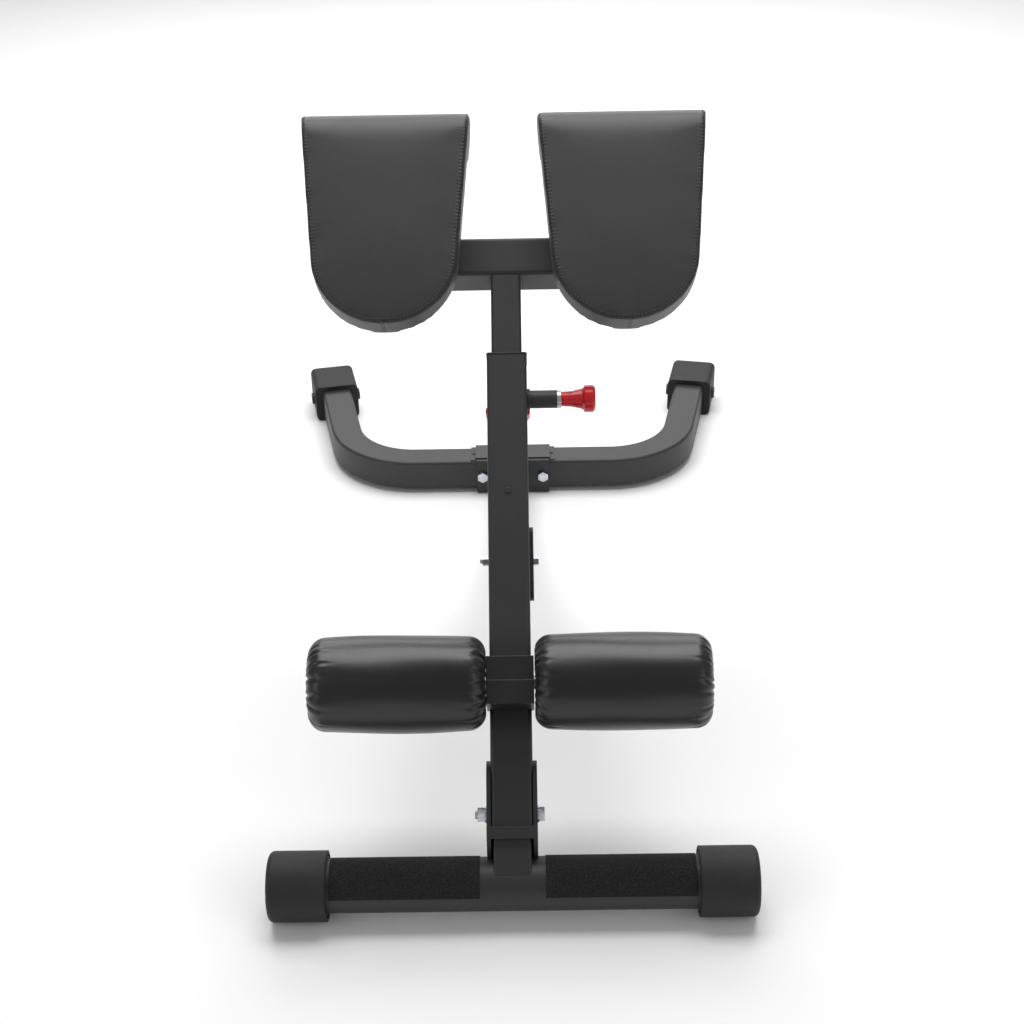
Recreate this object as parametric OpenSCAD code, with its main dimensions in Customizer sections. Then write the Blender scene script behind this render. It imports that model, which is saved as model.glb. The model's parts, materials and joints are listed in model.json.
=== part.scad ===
// Hyperextension bench: an inclined main tube on a round front foot, a folding rear base,
// a sliding post with a pair of thigh pads, and a pair of foam ankle rollers.
// Lengths are in millimetres and angles in degrees. +Z is up, +Y runs to the rear, X = 0 is the centre plane.

/* [Overall sizes] */
// Width of the front foot over its end caps
front_width = 575; // [460:1:700]
// Distance from the front foot's axis to the front face of the rear bar
base_length = 983; // [850:1:1150]
// Slope of the main tube from the floor
tube_angle = 45; // [38:0.5:52]
// Length of the main tube
main_tube_length = 582; // [520:1:680]
// Distance between the rear feet, centre to centre
rear_width = 640; // [540:1:760]
// Length of the rear arms measured from the rear bar's front face to their ends
rear_arm_reach = 335; // [260:1:400]

/* [Frame tubes] */
// Outside size of the square main tube
main_tube_size = 50; // [48:0.5:60]
// Wall of the main tube
main_tube_wall = 2.5; // [2:0.1:3]
// Outside corner radius of the square tubes
tube_corner = 5; // [3:0.5:7]
// Outside diameter of the front foot tube
foot_tube_diameter = 63.5; // [57:0.5:72]
// Wall of the front foot tube
foot_tube_wall = 2; // [1.5:0.1:3]
// Distance along the slope from the foot's axis to the main tube's lower end
tube_rise = 64; // [56:1:76]
// Distance of the main tube's axis in front of the foot's axis, square to the slope
tube_offset = 8.7; // [0:0.1:14]

/* [Front foot] */
// Outside diameter of the rubber end caps
cap_diameter = 83; // [78:0.5:95]
// Length of each end cap
cap_length = 69; // [55:1:85]
// Depth of the flat under each end cap
cap_flat = 0.8; // [0.5:0.1:1.5]
// Thickness of the outer shell of each cap
cap_shell = 4; // [3:0.5:5]
// Thickness of the inner collar of each cap
cap_collar = 3; // [2:0.5:4]
// Depth of the open recess at the inner end of each cap
cap_recess = 34; // [20:1:45]
// Thickness of the closed end of each cap
cap_end_wall = 6; // [4:0.5:10]
// Radius of the outer rim of each cap
cap_rim_radius = 7; // [4:0.5:10]
// Thickness of the grip tape
tape_thickness = 1; // [0.6:0.1:2]
// Length of bare tube left in the middle between the grip tapes
tape_gap = 77; // [70:1:110]
// Gap between each grip tape and its end cap
tape_end_gap = 4; // [2:0.5:10]
// Angle of the foot tube that the grip tape wraps
tape_wrap = 156; // [120:1:180]

/* [Front socket] */
// Thickness of the socket's cheeks
socket_plate = 5; // [4:0.5:6]
// Length of cheek above the main tube's lower end
socket_height = 79; // [60:1:100]
// Width of the strap across the front of the socket
socket_strap = 14; // [10:1:18]
// Distance of the socket bolt above the main tube's lower end
socket_bolt_rise = 16; // [14:0.5:30]
// Clearance round the stub inside the main tube
stub_clearance = 0.5; // [0.3:0.1:1]
// Length of the stub inside the main tube
stub_insert = 60; // [45:1:80]
// Wall of the stub
stub_wall = 3; // [2:0.5:4]

/* [Fasteners] */
// Diameter of the main bolts
bolt_diameter = 10; // [8:1:12]
// Clearance on the diameter of bolt holes
bolt_clearance = 0.4; // [0.2:0.1:0.8]
// Thickness of the bolt heads
bolt_head_height = 6.4; // [5:0.1:8]
// Thickness of the lock nuts
nut_height = 9; // [7:0.5:11]
// Length of thread past each nut
thread_tail = 3; // [2:0.5:5]

/* [Post] */
// Outside size of the square post
post_size = 38; // [34:0.5:40]
// Wall of the post
post_wall = 2; // [1.5:0.1:3]
// Length of the post below its crossbar
post_length = 390; // [340:1:430]
// Height of the crossbar's underside above the main tube's upper end
post_extension = 108; // [90:1:130]
// Sliding clearance on each side of the post
post_clearance = 0.3; // [0.2:0.05:0.5]
// Clearance on each side of the liner in the main tube
liner_clearance = 0.1; // [0.05:0.05:0.2]
// Length of the liner inside the main tube
liner_length = 186; // [150:1:220]
// Thickness of the liner's flange on the end of the main tube
liner_flange = 2.4; // [1.5:0.1:4]
// Distance between the height holes
hole_pitch = 30; // [25:1:35]
// Number of height holes above the one in use
holes_above = 2; // [1:1:2]
// Number of height holes below the one in use
holes_below = 3; // [2:1:4]

/* [Crossbar] */
// Length of the crossbar
crossbar_length = 420; // [340:1:460]
// Height of the crossbar, along the slope
crossbar_height = 50; // [40:1:60]
// Depth of the crossbar, square to the slope
crossbar_depth = 60; // [50:1:70]
// Distance the crossbar's front face stands out from the post's
crossbar_proud = 2; // [0:0.5:6]
// Thickness of the flange of the end plugs
plug_flange = 3; // [2:0.5:5]
// Length of the end plugs inside their tubes
plug_insert = 16; // [10:1:25]

/* [Thigh pads] */
// Distance between the pads, centre to centre
pad_spacing = 300; // [280:1:340]
// Radius of each pad's rounded lower end
pad_radius = 92; // [80:1:100]
// Width of each pad at its top
pad_top_width = 216; // [200:1:240]
// Length of each pad
pad_length = 290; // [260:1:330]
// Distance from the crossbar's underside down to each pad's lower end
pad_drop = 82; // [70:1:100]
// Thickness of the cushion in front of the board
cushion_thickness = 42; // [30:1:60]
// Radius of the rolled upper end of the cushion
cushion_roll = 32; // [26:1:40]
// Thickness of the plywood board
board_thickness = 12; // [9:1:18]
// Distance from the cushion's edge in to the board's edge
board_inset = 7; // [4:0.5:12]
// Distance between the two bolts of each pad
pad_bolt_spacing = 70; // [50:1:90]

/* [Ankle rollers] */
// Height of the rollers above the main tube's lower end, along the slope
roller_rise = 165; // [140:1:200]
// Distance of the roller axle in front of the main tube's front face
roller_stand = 27.5; // [24:0.5:36]
// Outside diameter of the rollers
roller_diameter = 116; // [100:1:130]
// Length of each roller
roller_length = 206; // [160:1:230]
// Gap between each roller and the block
roller_gap = 1.5; // [1:0.5:4]
// Diameter of the roller axle
axle_diameter = 16; // [14:0.5:20]
// Running clearance on the radius of the roller sleeve
sleeve_clearance = 0.08; // [0.04:0.01:0.1]
// Wall of the roller sleeve
sleeve_wall = 4; // [3:0.5:6]
// Width and height of the roller block
block_size = 56; // [54:0.5:70]
// Distance the block reaches back over the sides of the main tube
block_wrap = 12; // [6:1:20]

/* [Pull pin] */
// Distance of the pull pin and the clamp knob below the main tube's upper end
pin_drop = 52; // [40:1:70]
// Diameter of the locking pin
pin_diameter = 11.8; // [10:0.1:13]
// Running clearance on the radius of the pull pin
pin_clearance = 0.1; // [0.05:0.01:0.1]
// Gap between the pin's tip and the post
pin_tip_gap = 0.5; // [0.3:0.1:0.8]
// Outside diameter of the pin's barrel
barrel_diameter = 22.6; // [20:0.2:26]
// Length of the pin's barrel
barrel_length = 37.5; // [32:0.5:45]
// Outside diameter of the pull knob's head
pull_knob_diameter = 34; // [28:0.5:40]
// Length of the pull knob
pull_knob_length = 42.5; // [35:0.5:50]

/* [Clamp knob] */
// Diameter of the clamp knob
clamp_knob_diameter = 57; // [48:0.5:66]
// Thickness of the clamp knob
clamp_knob_thickness = 22; // [16:0.5:28]
// Diameter of the clamp knob's screw
clamp_screw_diameter = 10; // [8:0.5:12]
// Running clearance on the radius of the clamp screw
clamp_clearance = 0.1; // [0.05:0.01:0.1]

/* [Rear leg] */
// Height of the leg's pivot above the main tube's lower end, along the slope
pivot_rise = 335; // [300:1:350]
// Distance of the leg's pivot behind the main tube's underside
pivot_drop = 26; // [25:0.5:34]
// Outside size of the square rear leg
leg_size = 38; // [34:0.5:39]
// Wall of the rear leg
leg_wall = 2.5; // [2:0.1:3]
// Diameter of the pivot bolt
pivot_diameter = 8; // [7:1:10]
// Running clearance on the radius of the pivot bolt
pivot_clearance = 0.08; // [0.04:0.01:0.1]
// Wall of the pivot bush
bush_wall = 3; // [2:0.5:5]
// Side clearance of the rear leg between its washers
leg_side_clearance = 0.3; // [0.2:0.1:0.5]
// Gap between the rear leg and its stop plate
stop_gap = 0.2; // [0.1:0.1:0.4]

/* [Rear base] */
// Outside size of the square rear bar
rear_bar_size = 50; // [45:0.5:55]
// Wall of the rear bar
rear_bar_wall = 2.5; // [2:0.1:3]
// Height of the rear bar above the floor
rear_bar_lift = 8; // [5:0.5:14]
// Bend radius of the rear bar at its centre line
bend_radius = 125; // [100:1:150]
// Angle by which the arms splay outwards
arm_splay = 11.5; // [5:0.5:16]
// How far each face of the rear bar draws in round its bends
bend_draw = 0.05; // [0.03:0.01:0.2]
// Thickness of the saddle bracket's plates
saddle_plate = 4; // [3:0.5:6]
// Width of the saddle bracket
saddle_width = 120; // [118:1:150]
// Distance between the two saddle bolts
saddle_bolt_spacing = 100; // [85:1:100]
// Width of the cover plate on the saddle
cover_width = 139; // [137:1:160]
// Thickness of the cover plate
cover_thickness = 2; // [1:0.5:3]
// Width of each rear foot
foot_block_width = 76; // [68:1:90]
// Length of each rear foot
foot_block_length = 80; // [65:1:100]
// Height of each rear foot
foot_block_height = 66; // [64:1:80]
// Corner radius of each rear foot
foot_block_corner = 10; // [6:1:14]

/* [Hidden] */
smooth = 72;
small_smooth = 36;
cut = 1;
hex_sides = 6;
foot_height = cap_diameter / 2 - cap_flat;
foot_block_wall = (foot_block_width - rear_bar_size) / 2;
foot_block_overhang = foot_block_wall * cos(arm_splay) + foot_block_width / 2 * sin(arm_splay);
rear_reach = base_length + rear_arm_reach + foot_block_overhang;
base_shift = -(rear_reach - cap_diameter / 2) / 2;

tube_half = main_tube_size / 2;
main_tube_bore = main_tube_size - 2 * main_tube_wall;
stub_size = main_tube_bore - 2 * stub_clearance;
foot_local_y = -tube_rise;
foot_local_z = -tube_offset;
socket_outer = main_tube_size + 2 * socket_plate;
hex_across = bolt_diameter * 1.6;
washer_diameter = bolt_diameter * 2;
washer_thickness = 2;
bolt_hole = bolt_diameter + bolt_clearance;

liner_outer = main_tube_bore - 2 * liner_clearance;
liner_bore = post_size + 2 * post_clearance;
liner_screw_diameter = 4;
liner_screw_head = 7;
liner_screw_y = main_tube_length - liner_length + 10;
pin_y = main_tube_length - pin_drop;
pin_tip_x = post_size / 2 + pin_tip_gap;
pin_hole = pin_diameter + 2 * pin_clearance;
pin_stem = pin_diameter * 0.65;
pin_stem_hole = pin_stem + 2 * pin_clearance;
collar_diameter = barrel_diameter + 4;
collar_length = 3.5;
ferrule_diameter = barrel_diameter;
ferrule_length = 5;
barrel_end = tube_half + barrel_length;
spring_room = barrel_diameter - 6;
shoulder_length = 3;
spring_wire = 1.4;

post_front = post_size / 2;
crossbar_y = main_tube_length + post_extension;
post_bottom = crossbar_y - post_length;
crossbar_front = post_front + crossbar_proud;
crossbar_wall = 2.5;
post_hole = pin_diameter + 2 * pin_tip_gap;

pad_low = crossbar_y - pad_drop;
pad_centre_y = pad_low + pad_radius;
pad_top = pad_low + pad_length;
pad_taper = atan((pad_top_width / 2 - pad_radius) / (pad_length - pad_radius));
board_back = crossbar_front;
board_front = board_back + board_thickness;
cushion_front = board_front + cushion_thickness;
roll_y = pad_top - cushion_roll;
roll_z = cushion_front - cushion_roll;
board_top = roll_y - cushion_roll - board_inset;
pad_bolt_diameter = 8;
tee_flange = 22;
tee_thickness = 1.6;
tee_barrel = 11;

roller_z = tube_half + roller_stand;
block_skin = 3;
block_width = max(block_size, main_tube_size + 2 * block_skin);
roller_inner = block_width / 2 + roller_gap;
roller_outer = roller_inner + roller_length;
axle_cap_length = 10;
axle_cap_diameter = 30;
axle_length = 2 * roller_outer - 8;
sleeve_bore = axle_diameter + 2 * sleeve_clearance;
sleeve_outer = sleeve_bore + 2 * sleeve_wall;
sleeve_recess = 12;
block_front = roller_stand + 24.5;

clamp_boss_length = 10;
clamp_boss_diameter = 22;
clamp_tip_z = post_size / 2 + pin_tip_gap;
clamp_knob_z = tube_half + clamp_boss_length + 12;
clamp_lobes = 6;
lobe_radius = 8;

pivot_z = -tube_half - pivot_drop;
slope_cos = cos(tube_angle);
slope_sin = sin(tube_angle);
pivot_world_y = (tube_rise + pivot_rise) * slope_cos - (tube_offset + pivot_z) * slope_sin;
pivot_world_z = foot_height + (tube_rise + pivot_rise) * slope_sin + (tube_offset + pivot_z) * slope_cos;
leg_end_y = base_length - saddle_plate;
leg_end_z = rear_bar_lift + rear_bar_size / 2 + 3;
leg_slope = atan2(pivot_world_z - leg_end_z, leg_end_y - pivot_world_y);
leg_length = norm([leg_end_y - pivot_world_y, pivot_world_z - leg_end_z]);
socket_toe = 5;
socket_toe_drop = 36;
leg_half = leg_size / 2;
leg_skew = leg_half * tan(leg_slope);
cheek_plate = 4;
cheek_face = tube_half - cheek_plate;
pivot_washer = cheek_face - leg_size / 2 - leg_side_clearance;
pivot_hex = pivot_diameter * 1.55;
keeper_length = 42;
keeper_rise = 32;
keeper_width = 20;
keeper_plate = 5;
stop_plate = 5;
pivot_web_low = 14;
pivot_web_length = 54;
stop_length = 26;
stop_start = 18;

rear_half = rear_bar_size / 2;
rear_axis_y = base_length + rear_half;
rear_axis_z = rear_bar_lift + rear_half;
bend_angle = 90 - arm_splay;
bend_lap = 0.5;
bend_tangent = bend_radius * tan(bend_angle / 2);
arm_run = rear_arm_reach - rear_half;
corner_x = rear_width / 2 - (arm_run - foot_block_length / 2) * tan(arm_splay);
straight_half = corner_x - bend_tangent;
arm_length = arm_run / cos(arm_splay) - bend_tangent;
rivet_diameter = 5;
cover_rivet_x = (saddle_width + cover_width) / 4;
foot_bolt_diameter = 10;
foot_bolt_head = 5;

steel_black = [0.07, 0.07, 0.075];
rubber_black = [0.05, 0.05, 0.05];
vinyl_black = [0.06, 0.06, 0.065];
zinc = [0.75, 0.76, 0.78];
knob_red = [0.75, 0.05, 0.06];
plywood = [0.72, 0.55, 0.36];

// ---- placement ----

module placed() {
    translate([0, base_shift, 0]) children();
}

module at_foot() {
    placed() translate([0, 0, foot_height]) children();
}

module inclined() {
    at_foot() rotate([tube_angle, 0, 0]) translate([0, tube_rise, tube_offset]) children();
}

module at_leg() {
    placed() translate([0, pivot_world_y, pivot_world_z]) rotate([-leg_slope, 0, 0]) children();
}

module along(start, length) {
    translate([0, start, 0]) rotate([-90, 0, 0]) linear_extrude(length) children();
}

module across(start, length) {
    translate([start, 0, 0]) rotate([90, 0, 90]) linear_extrude(length) children();
}

module rod_x(start, length, diameter, sides = smooth) {
    translate([start, 0, 0]) rotate([0, 90, 0]) cylinder(d = diameter, h = length, $fn = sides);
}

module rod_z(start, length, diameter, sides = smooth) {
    translate([0, 0, start]) cylinder(d = diameter, h = length, $fn = sides);
}

// ---- profiles ----

module rounded(width, height, radius) {
    square([width - 2 * radius, height], center = true);
    square([width, height - 2 * radius], center = true);
    for (sx = [-1, 1], sy = [-1, 1]) {
        translate([sx * (width / 2 - radius), sy * (height / 2 - radius)]) circle(r = radius, $fn = small_smooth);
    }
}

module tube_profile(width, height, wall, radius) {
    difference() {
        rounded(width, height, radius);
        rounded(width - 2 * wall, height - 2 * wall, max(radius - wall, 1));
    }
}

// ---- front foot ----

module foot_void(extra = 0) {
    translate([-front_width / 2, foot_local_y, foot_local_z]) rod_x(0, front_width, foot_tube_diameter + extra);
}

module front_foot_tube() {
    length = front_width - 2 * cap_end_wall;
    color(steel_black) at_foot() difference() {
        rod_x(-length / 2, length, foot_tube_diameter);
        rod_x(-length / 2 - cut, length + 2 * cut, foot_tube_diameter - 2 * foot_tube_wall);
    }
}

module cap_profile() {
    outer = cap_diameter / 2;
    collar_outer = foot_tube_diameter / 2 + cap_collar;
    difference() {
        union() {
            square([outer - cap_rim_radius, cap_length]);
            square([outer, cap_length - cap_rim_radius]);
            translate([outer - cap_rim_radius, cap_length - cap_rim_radius]) circle(r = cap_rim_radius, $fn = smooth);
        }
        translate([-cut, -cut]) square([foot_tube_diameter / 2 + cut, cap_length - cap_end_wall + cut]);
        translate([collar_outer, -cut]) square([outer - cap_shell - collar_outer, cap_recess + cut]);
    }
}

module front_cap(side) {
    color(rubber_black) intersection() {
        at_foot() translate([side * (front_width / 2 - cap_length), 0, 0]) rotate([0, side * 90, 0])
            rotate_extrude($fn = smooth) intersection() {
                cap_profile();
                square([cap_diameter, cap_length]);
            }
        placed() translate([-front_width, -cap_diameter, 0]) cube([2 * front_width, 2 * cap_diameter, 2 * cap_diameter]);
    }
}

module front_cap_left() {
    front_cap(-1);
}

module front_cap_right() {
    front_cap(1);
}

module grip_tape(side) {
    length = (front_width - 2 * cap_length - tape_gap) / 2 - tape_end_gap;
    start = side > 0 ? tape_gap / 2 : -tape_gap / 2 - length;
    color(rubber_black) at_foot() translate([start, 0, 0]) rotate([0, 90, 0]) rotate([0, 0, 180 - tape_wrap / 2])
        rotate_extrude(angle = tape_wrap, $fn = smooth)
            translate([foot_tube_diameter / 2, 0]) square([tape_thickness, length]);
}

module grip_tape_left() {
    grip_tape(-1);
}

module grip_tape_right() {
    grip_tape(1);
}

// ---- front socket ----

module cheek_profile() {
    top = socket_height - tube_half;
    difference() {
        union() {
            translate([foot_local_y, -tube_half]) square([top - foot_local_y, main_tube_size]);
            translate([top, 0]) circle(d = main_tube_size, $fn = smooth);
        }
        translate([foot_local_y, foot_local_z]) circle(d = foot_tube_diameter, $fn = smooth);
        translate([foot_local_y - main_tube_size, -main_tube_size]) square([main_tube_size, 2 * main_tube_size]);
        polygon([
            [-socket_strap, tube_half + cut], [foot_local_y - cut, tube_half + cut],
            [foot_local_y - cut, socket_toe], [-socket_toe_drop, socket_toe]
        ]);
        translate([socket_bolt_rise, 0]) circle(d = bolt_hole, $fn = small_smooth);
    }
}

module front_socket() {
    color(steel_black) inclined() {
        across(tube_half, socket_plate) cheek_profile();
        across(-tube_half - socket_plate, socket_plate) cheek_profile();
        translate([-socket_outer / 2, -socket_strap, tube_half]) cube([socket_outer, socket_strap, socket_plate]);
        difference() {
            translate([-socket_outer / 2, foot_local_y, -tube_half - socket_plate])
                cube([socket_outer, socket_height - tube_half - foot_local_y, socket_plate]);
            foot_void();
        }
        for (side = [-1, 1]) {
            translate([side * (tube_half + socket_plate / 2) - socket_plate / 2, -socket_strap, tube_half - cut])
                cube([socket_plate, socket_strap, cut]);
        }
    }
}

module foot_stub() {
    color(steel_black) inclined() difference() {
        along(foot_local_y, stub_insert - foot_local_y) tube_profile(stub_size, stub_size, stub_wall, tube_corner - main_tube_wall);
        foot_void();
        translate([-main_tube_size, foot_local_y - main_tube_size, -main_tube_size])
            cube([2 * main_tube_size, main_tube_size, 2 * main_tube_size]);
        translate([0, socket_bolt_rise, 0]) rod_x(-tube_half, main_tube_size, bolt_hole, small_smooth);
    }
}

module hex_bolt(grip, diameter, head, across_flats) {
    rod_x(-grip - thread_tail, grip + thread_tail, diameter, small_smooth);
    rod_x(0, head, across_flats / cos(30), hex_sides);
}

module socket_bolt() {
    grip = socket_outer + 2 * washer_thickness + nut_height;
    color(zinc) inclined() translate([socket_outer / 2 + washer_thickness, socket_bolt_rise, 0])
        hex_bolt(grip, bolt_diameter, bolt_head_height, hex_across);
}

module socket_nut() {
    color(zinc) inclined() translate([-socket_outer / 2 - washer_thickness - nut_height, socket_bolt_rise, 0]) difference() {
        rod_x(0, nut_height, hex_across / cos(30), hex_sides);
        rod_x(-cut, nut_height + 2 * cut, bolt_diameter, small_smooth);
    }
}

module socket_washers() {
    color(zinc) inclined() for (x = [-socket_outer / 2 - washer_thickness, socket_outer / 2]) {
        translate([x, socket_bolt_rise, 0]) difference() {
            rod_x(0, washer_thickness, washer_diameter, small_smooth);
            rod_x(-cut, washer_thickness + 2 * cut, bolt_hole, small_smooth);
        }
    }
}

// ---- main tube ----

module main_tube() {
    color(steel_black) inclined() difference() {
        along(0, main_tube_length) tube_profile(main_tube_size, main_tube_size, main_tube_wall, tube_corner);
        translate([-tube_half - cut, socket_bolt_rise, 0]) rod_x(0, main_tube_size + 2 * cut, bolt_hole, small_smooth);
        translate([0, pin_y, 0]) rod_x(0, tube_half + cut, pin_hole, small_smooth);
        translate([0, pin_y, 0]) rod_z(-tube_half - cut, tube_half, clamp_screw_diameter + 2 * clamp_clearance, small_smooth);
        translate([0, liner_screw_y, 0]) rod_z(0, tube_half + cut, liner_screw_diameter, small_smooth);
    }
}

module main_tube_liner() {
    color(rubber_black) inclined() difference() {
        union() {
            along(main_tube_length - liner_length, liner_length + liner_flange)
                tube_profile(liner_outer, liner_outer, (liner_outer - liner_bore) / 2, tube_corner - main_tube_wall);
            along(main_tube_length, liner_flange)
                tube_profile(main_tube_size + 1, main_tube_size + 1, (main_tube_size + 1 - liner_bore) / 2, tube_corner);
        }
        translate([0, pin_y, 0]) rod_x(0, tube_half + cut, pin_hole, small_smooth);
        translate([0, pin_y, 0]) rod_z(-tube_half - cut, tube_half, clamp_screw_diameter + 2 * clamp_clearance, small_smooth);
        translate([0, liner_screw_y, 0]) rod_z(0, tube_half + cut, liner_screw_diameter, small_smooth);
    }
}

module liner_screw() {
    color(steel_black) inclined() translate([0, liner_screw_y, 0]) {
        rod_z(liner_bore / 2 + 1, tube_half - liner_bore / 2 - 1, liner_screw_diameter, small_smooth);
        rod_z(tube_half, 1.6, liner_screw_head, small_smooth);
    }
}

// ---- roller carriage ----

module roller_block(low) {
    half = block_width / 2;
    color(rubber_black) inclined() difference() {
        translate([-half, roller_rise - (low ? half : 0), tube_half - block_wrap])
            cube([block_width, half, block_wrap + block_front]);
        translate([-tube_half, 0, -tube_half]) cube([main_tube_size, main_tube_length, main_tube_size]);
        translate([-half - cut, roller_rise, roller_z]) rod_x(0, block_width + 2 * cut, axle_diameter);
    }
}

module roller_block_upper() {
    roller_block(false);
}

module roller_block_lower() {
    roller_block(true);
}

module roller_axle() {
    color(zinc) inclined() translate([-axle_length / 2, roller_rise, roller_z]) rod_x(0, axle_length, axle_diameter);
}

module axle_caps() {
    color(rubber_black) inclined() for (side = [-1, 1]) {
        translate([side * (roller_outer - sleeve_recess + 1), roller_rise, roller_z]) rotate([0, side * 90, 0]) difference() {
            cylinder(d = axle_cap_diameter, h = axle_cap_length, $fn = smooth);
            translate([0, 0, -cut]) cylinder(d = axle_diameter, h = sleeve_recess - 5 + cut, $fn = smooth);
        }
    }
}

module roller_at(side) {
    inclined() translate([side > 0 ? roller_inner : -roller_outer, roller_rise, roller_z]) children();
}

module roller_sleeve(side) {
    length = roller_length - sleeve_recess;
    start = side > 0 ? 0 : sleeve_recess;
    color(rubber_black) roller_at(side) difference() {
        rod_x(start, length, sleeve_outer);
        rod_x(start - cut, length + 2 * cut, sleeve_bore);
    }
}

module roller_sleeve_left() {
    roller_sleeve(-1);
}

module roller_sleeve_right() {
    roller_sleeve(1);
}

module foam_profile() {
    outer = roller_diameter / 2;
    edge = 16;
    difference() {
        union() {
            square([outer - edge, roller_length]);
            translate([0, edge]) square([outer, roller_length - 2 * edge]);
            for (y = [edge, roller_length - edge]) {
                translate([outer - edge, y]) circle(r = edge, $fn = smooth);
            }
        }
        translate([-cut, -cut]) square([sleeve_outer / 2 + cut, roller_length + 2 * cut]);
        translate([-cut, roller_length - sleeve_recess]) square([axle_cap_diameter / 2 + 2 + cut, sleeve_recess + cut]);
    }
}

module roller_foam(side) {
    color(vinyl_black) roller_at(side) translate([side > 0 ? 0 : roller_length, 0, 0]) rotate([0, side * 90, 0])
        rotate_extrude($fn = smooth) foam_profile();
}

module roller_foam_left() {
    roller_foam(-1);
}

module roller_foam_right() {
    roller_foam(1);
}

// ---- pull pin ----

module at_pin() {
    inclined() translate([0, pin_y, 0]) children();
}

module pin_barrel() {
    color(steel_black) at_pin() difference() {
        union() {
            rod_x(tube_half, collar_length, collar_diameter);
            rod_x(tube_half, barrel_length, barrel_diameter);
        }
        rod_x(tube_half - cut, collar_length + 2 * cut, pin_hole);
        rod_x(tube_half + collar_length, barrel_length, spring_room);
    }
}

module pin_ferrule() {
    color(zinc) at_pin() difference() {
        union() {
            rod_x(barrel_end - ferrule_length, ferrule_length, spring_room, small_smooth);
            rod_x(barrel_end, ferrule_length, ferrule_diameter, small_smooth);
        }
        rod_x(barrel_end - ferrule_length - cut, 2 * ferrule_length + 2 * cut, pin_stem_hole, small_smooth);
    }
}

module locking_pin() {
    shoulder_x = tube_half + collar_length;
    knob_x = barrel_end + ferrule_length;
    color(zinc) at_pin() {
        rod_x(pin_tip_x, shoulder_x - pin_tip_x + shoulder_length, pin_diameter);
        rod_x(shoulder_x + 0.2, shoulder_length, spring_room - 0.6);
        rod_x(shoulder_x, knob_x - shoulder_x + pull_knob_length / 2, pin_stem);
    }
}

module pin_spring() {
    start = tube_half + collar_length + shoulder_length + 0.4;
    end = barrel_end - ferrule_length - 0.2;
    turns = 6;
    step = (end - start) / turns;
    color(zinc) at_pin() for (i = [0 : turns - 1]) {
        translate([start + i * step + step / 2, 0, 0]) rotate([0, 90, 0]) rotate_extrude($fn = small_smooth)
            translate([spring_room / 2 - spring_wire, 0]) circle(d = spring_wire, $fn = 16);
    }
}

module pull_knob_profile() {
    neck = pull_knob_diameter * 0.27;
    head = pull_knob_diameter / 2;
    neck_end = pull_knob_length * 0.62;
    rim = 3;
    polygon([
        [0, 0], [neck, 0], [neck + 0.8, neck_end / 2], [neck + 2.6, neck_end * 0.8],
        [head - rim - 1, neck_end], [head, neck_end + rim], [head, pull_knob_length - rim],
        [head - rim, pull_knob_length], [0, pull_knob_length]
    ]);
}

module pull_knob() {
    color(knob_red) at_pin() translate([barrel_end + ferrule_length + 0.3, 0, 0]) rotate([0, 90, 0]) difference() {
        rotate_extrude($fn = smooth) pull_knob_profile();
        translate([0, 0, -cut]) cylinder(d = pin_stem, h = pull_knob_length / 2 + cut - 0.3, $fn = smooth);
    }
}

// ---- clamp knob ----

module clamp_boss() {
    color(steel_black) at_pin() difference() {
        rod_z(-tube_half - clamp_boss_length, clamp_boss_length, clamp_boss_diameter);
        rod_z(-tube_half - clamp_boss_length - cut, clamp_boss_length + 2 * cut, clamp_screw_diameter + 2 * clamp_clearance);
    }
}

module clamp_screw() {
    color(zinc) at_pin() rod_z(-clamp_knob_z - clamp_knob_thickness / 2, clamp_knob_z + clamp_knob_thickness / 2 - clamp_tip_z, clamp_screw_diameter);
}

module clamp_knob() {
    hub = clamp_knob_diameter / 2 - lobe_radius;
    color(knob_red) at_pin() translate([0, 0, -clamp_knob_z - clamp_knob_thickness]) difference() {
        union() {
            cylinder(r = hub + 2, h = clamp_knob_thickness, $fn = smooth);
            for (i = [0 : clamp_lobes - 1]) {
                rotate([0, 0, i * 360 / clamp_lobes]) translate([hub, 0, 0])
                    cylinder(r = lobe_radius, h = clamp_knob_thickness, $fn = small_smooth);
            }
            cylinder(d = clamp_boss_diameter, h = clamp_knob_thickness + 6, $fn = smooth);
        }
        translate([0, 0, clamp_knob_thickness / 2]) cylinder(d = clamp_screw_diameter, h = clamp_knob_thickness, $fn = smooth);
    }
}

// ---- rear leg pivot ----

module at_pivot() {
    inclined() translate([0, pivot_rise, pivot_z]) children();
}

module pivot_cheek_profile() {
    low = 24;
    high = 50;
    back = 34;
    front = pivot_drop;
    radius = 10;
    difference() {
        union() {
            translate([-low + radius, -back]) square([low + high - 2 * radius, back + front]);
            translate([-low, -back + radius]) square([low + high, back + front - 2 * radius]);
            for (x = [-low + radius, high - radius], y = [-back + radius, front - radius]) {
                translate([x, y]) circle(r = radius, $fn = small_smooth);
            }
        }
        circle(d = pivot_diameter + bolt_clearance, $fn = small_smooth);
    }
}

module pivot_bracket() {
    color(steel_black) {
        at_pivot() across(cheek_face, cheek_plate) pivot_cheek_profile();
        at_pivot() across(-tube_half, cheek_plate) pivot_cheek_profile();
        at_pivot() translate([-tube_half, -pivot_web_low, pivot_drop - cheek_plate])
            cube([main_tube_size, pivot_web_length, cheek_plate]);
        at_leg() translate([-cheek_face - cut, stop_start, leg_half + stop_gap])
            cube([2 * (cheek_face + cut), stop_length, stop_plate]);
    }
}

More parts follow.
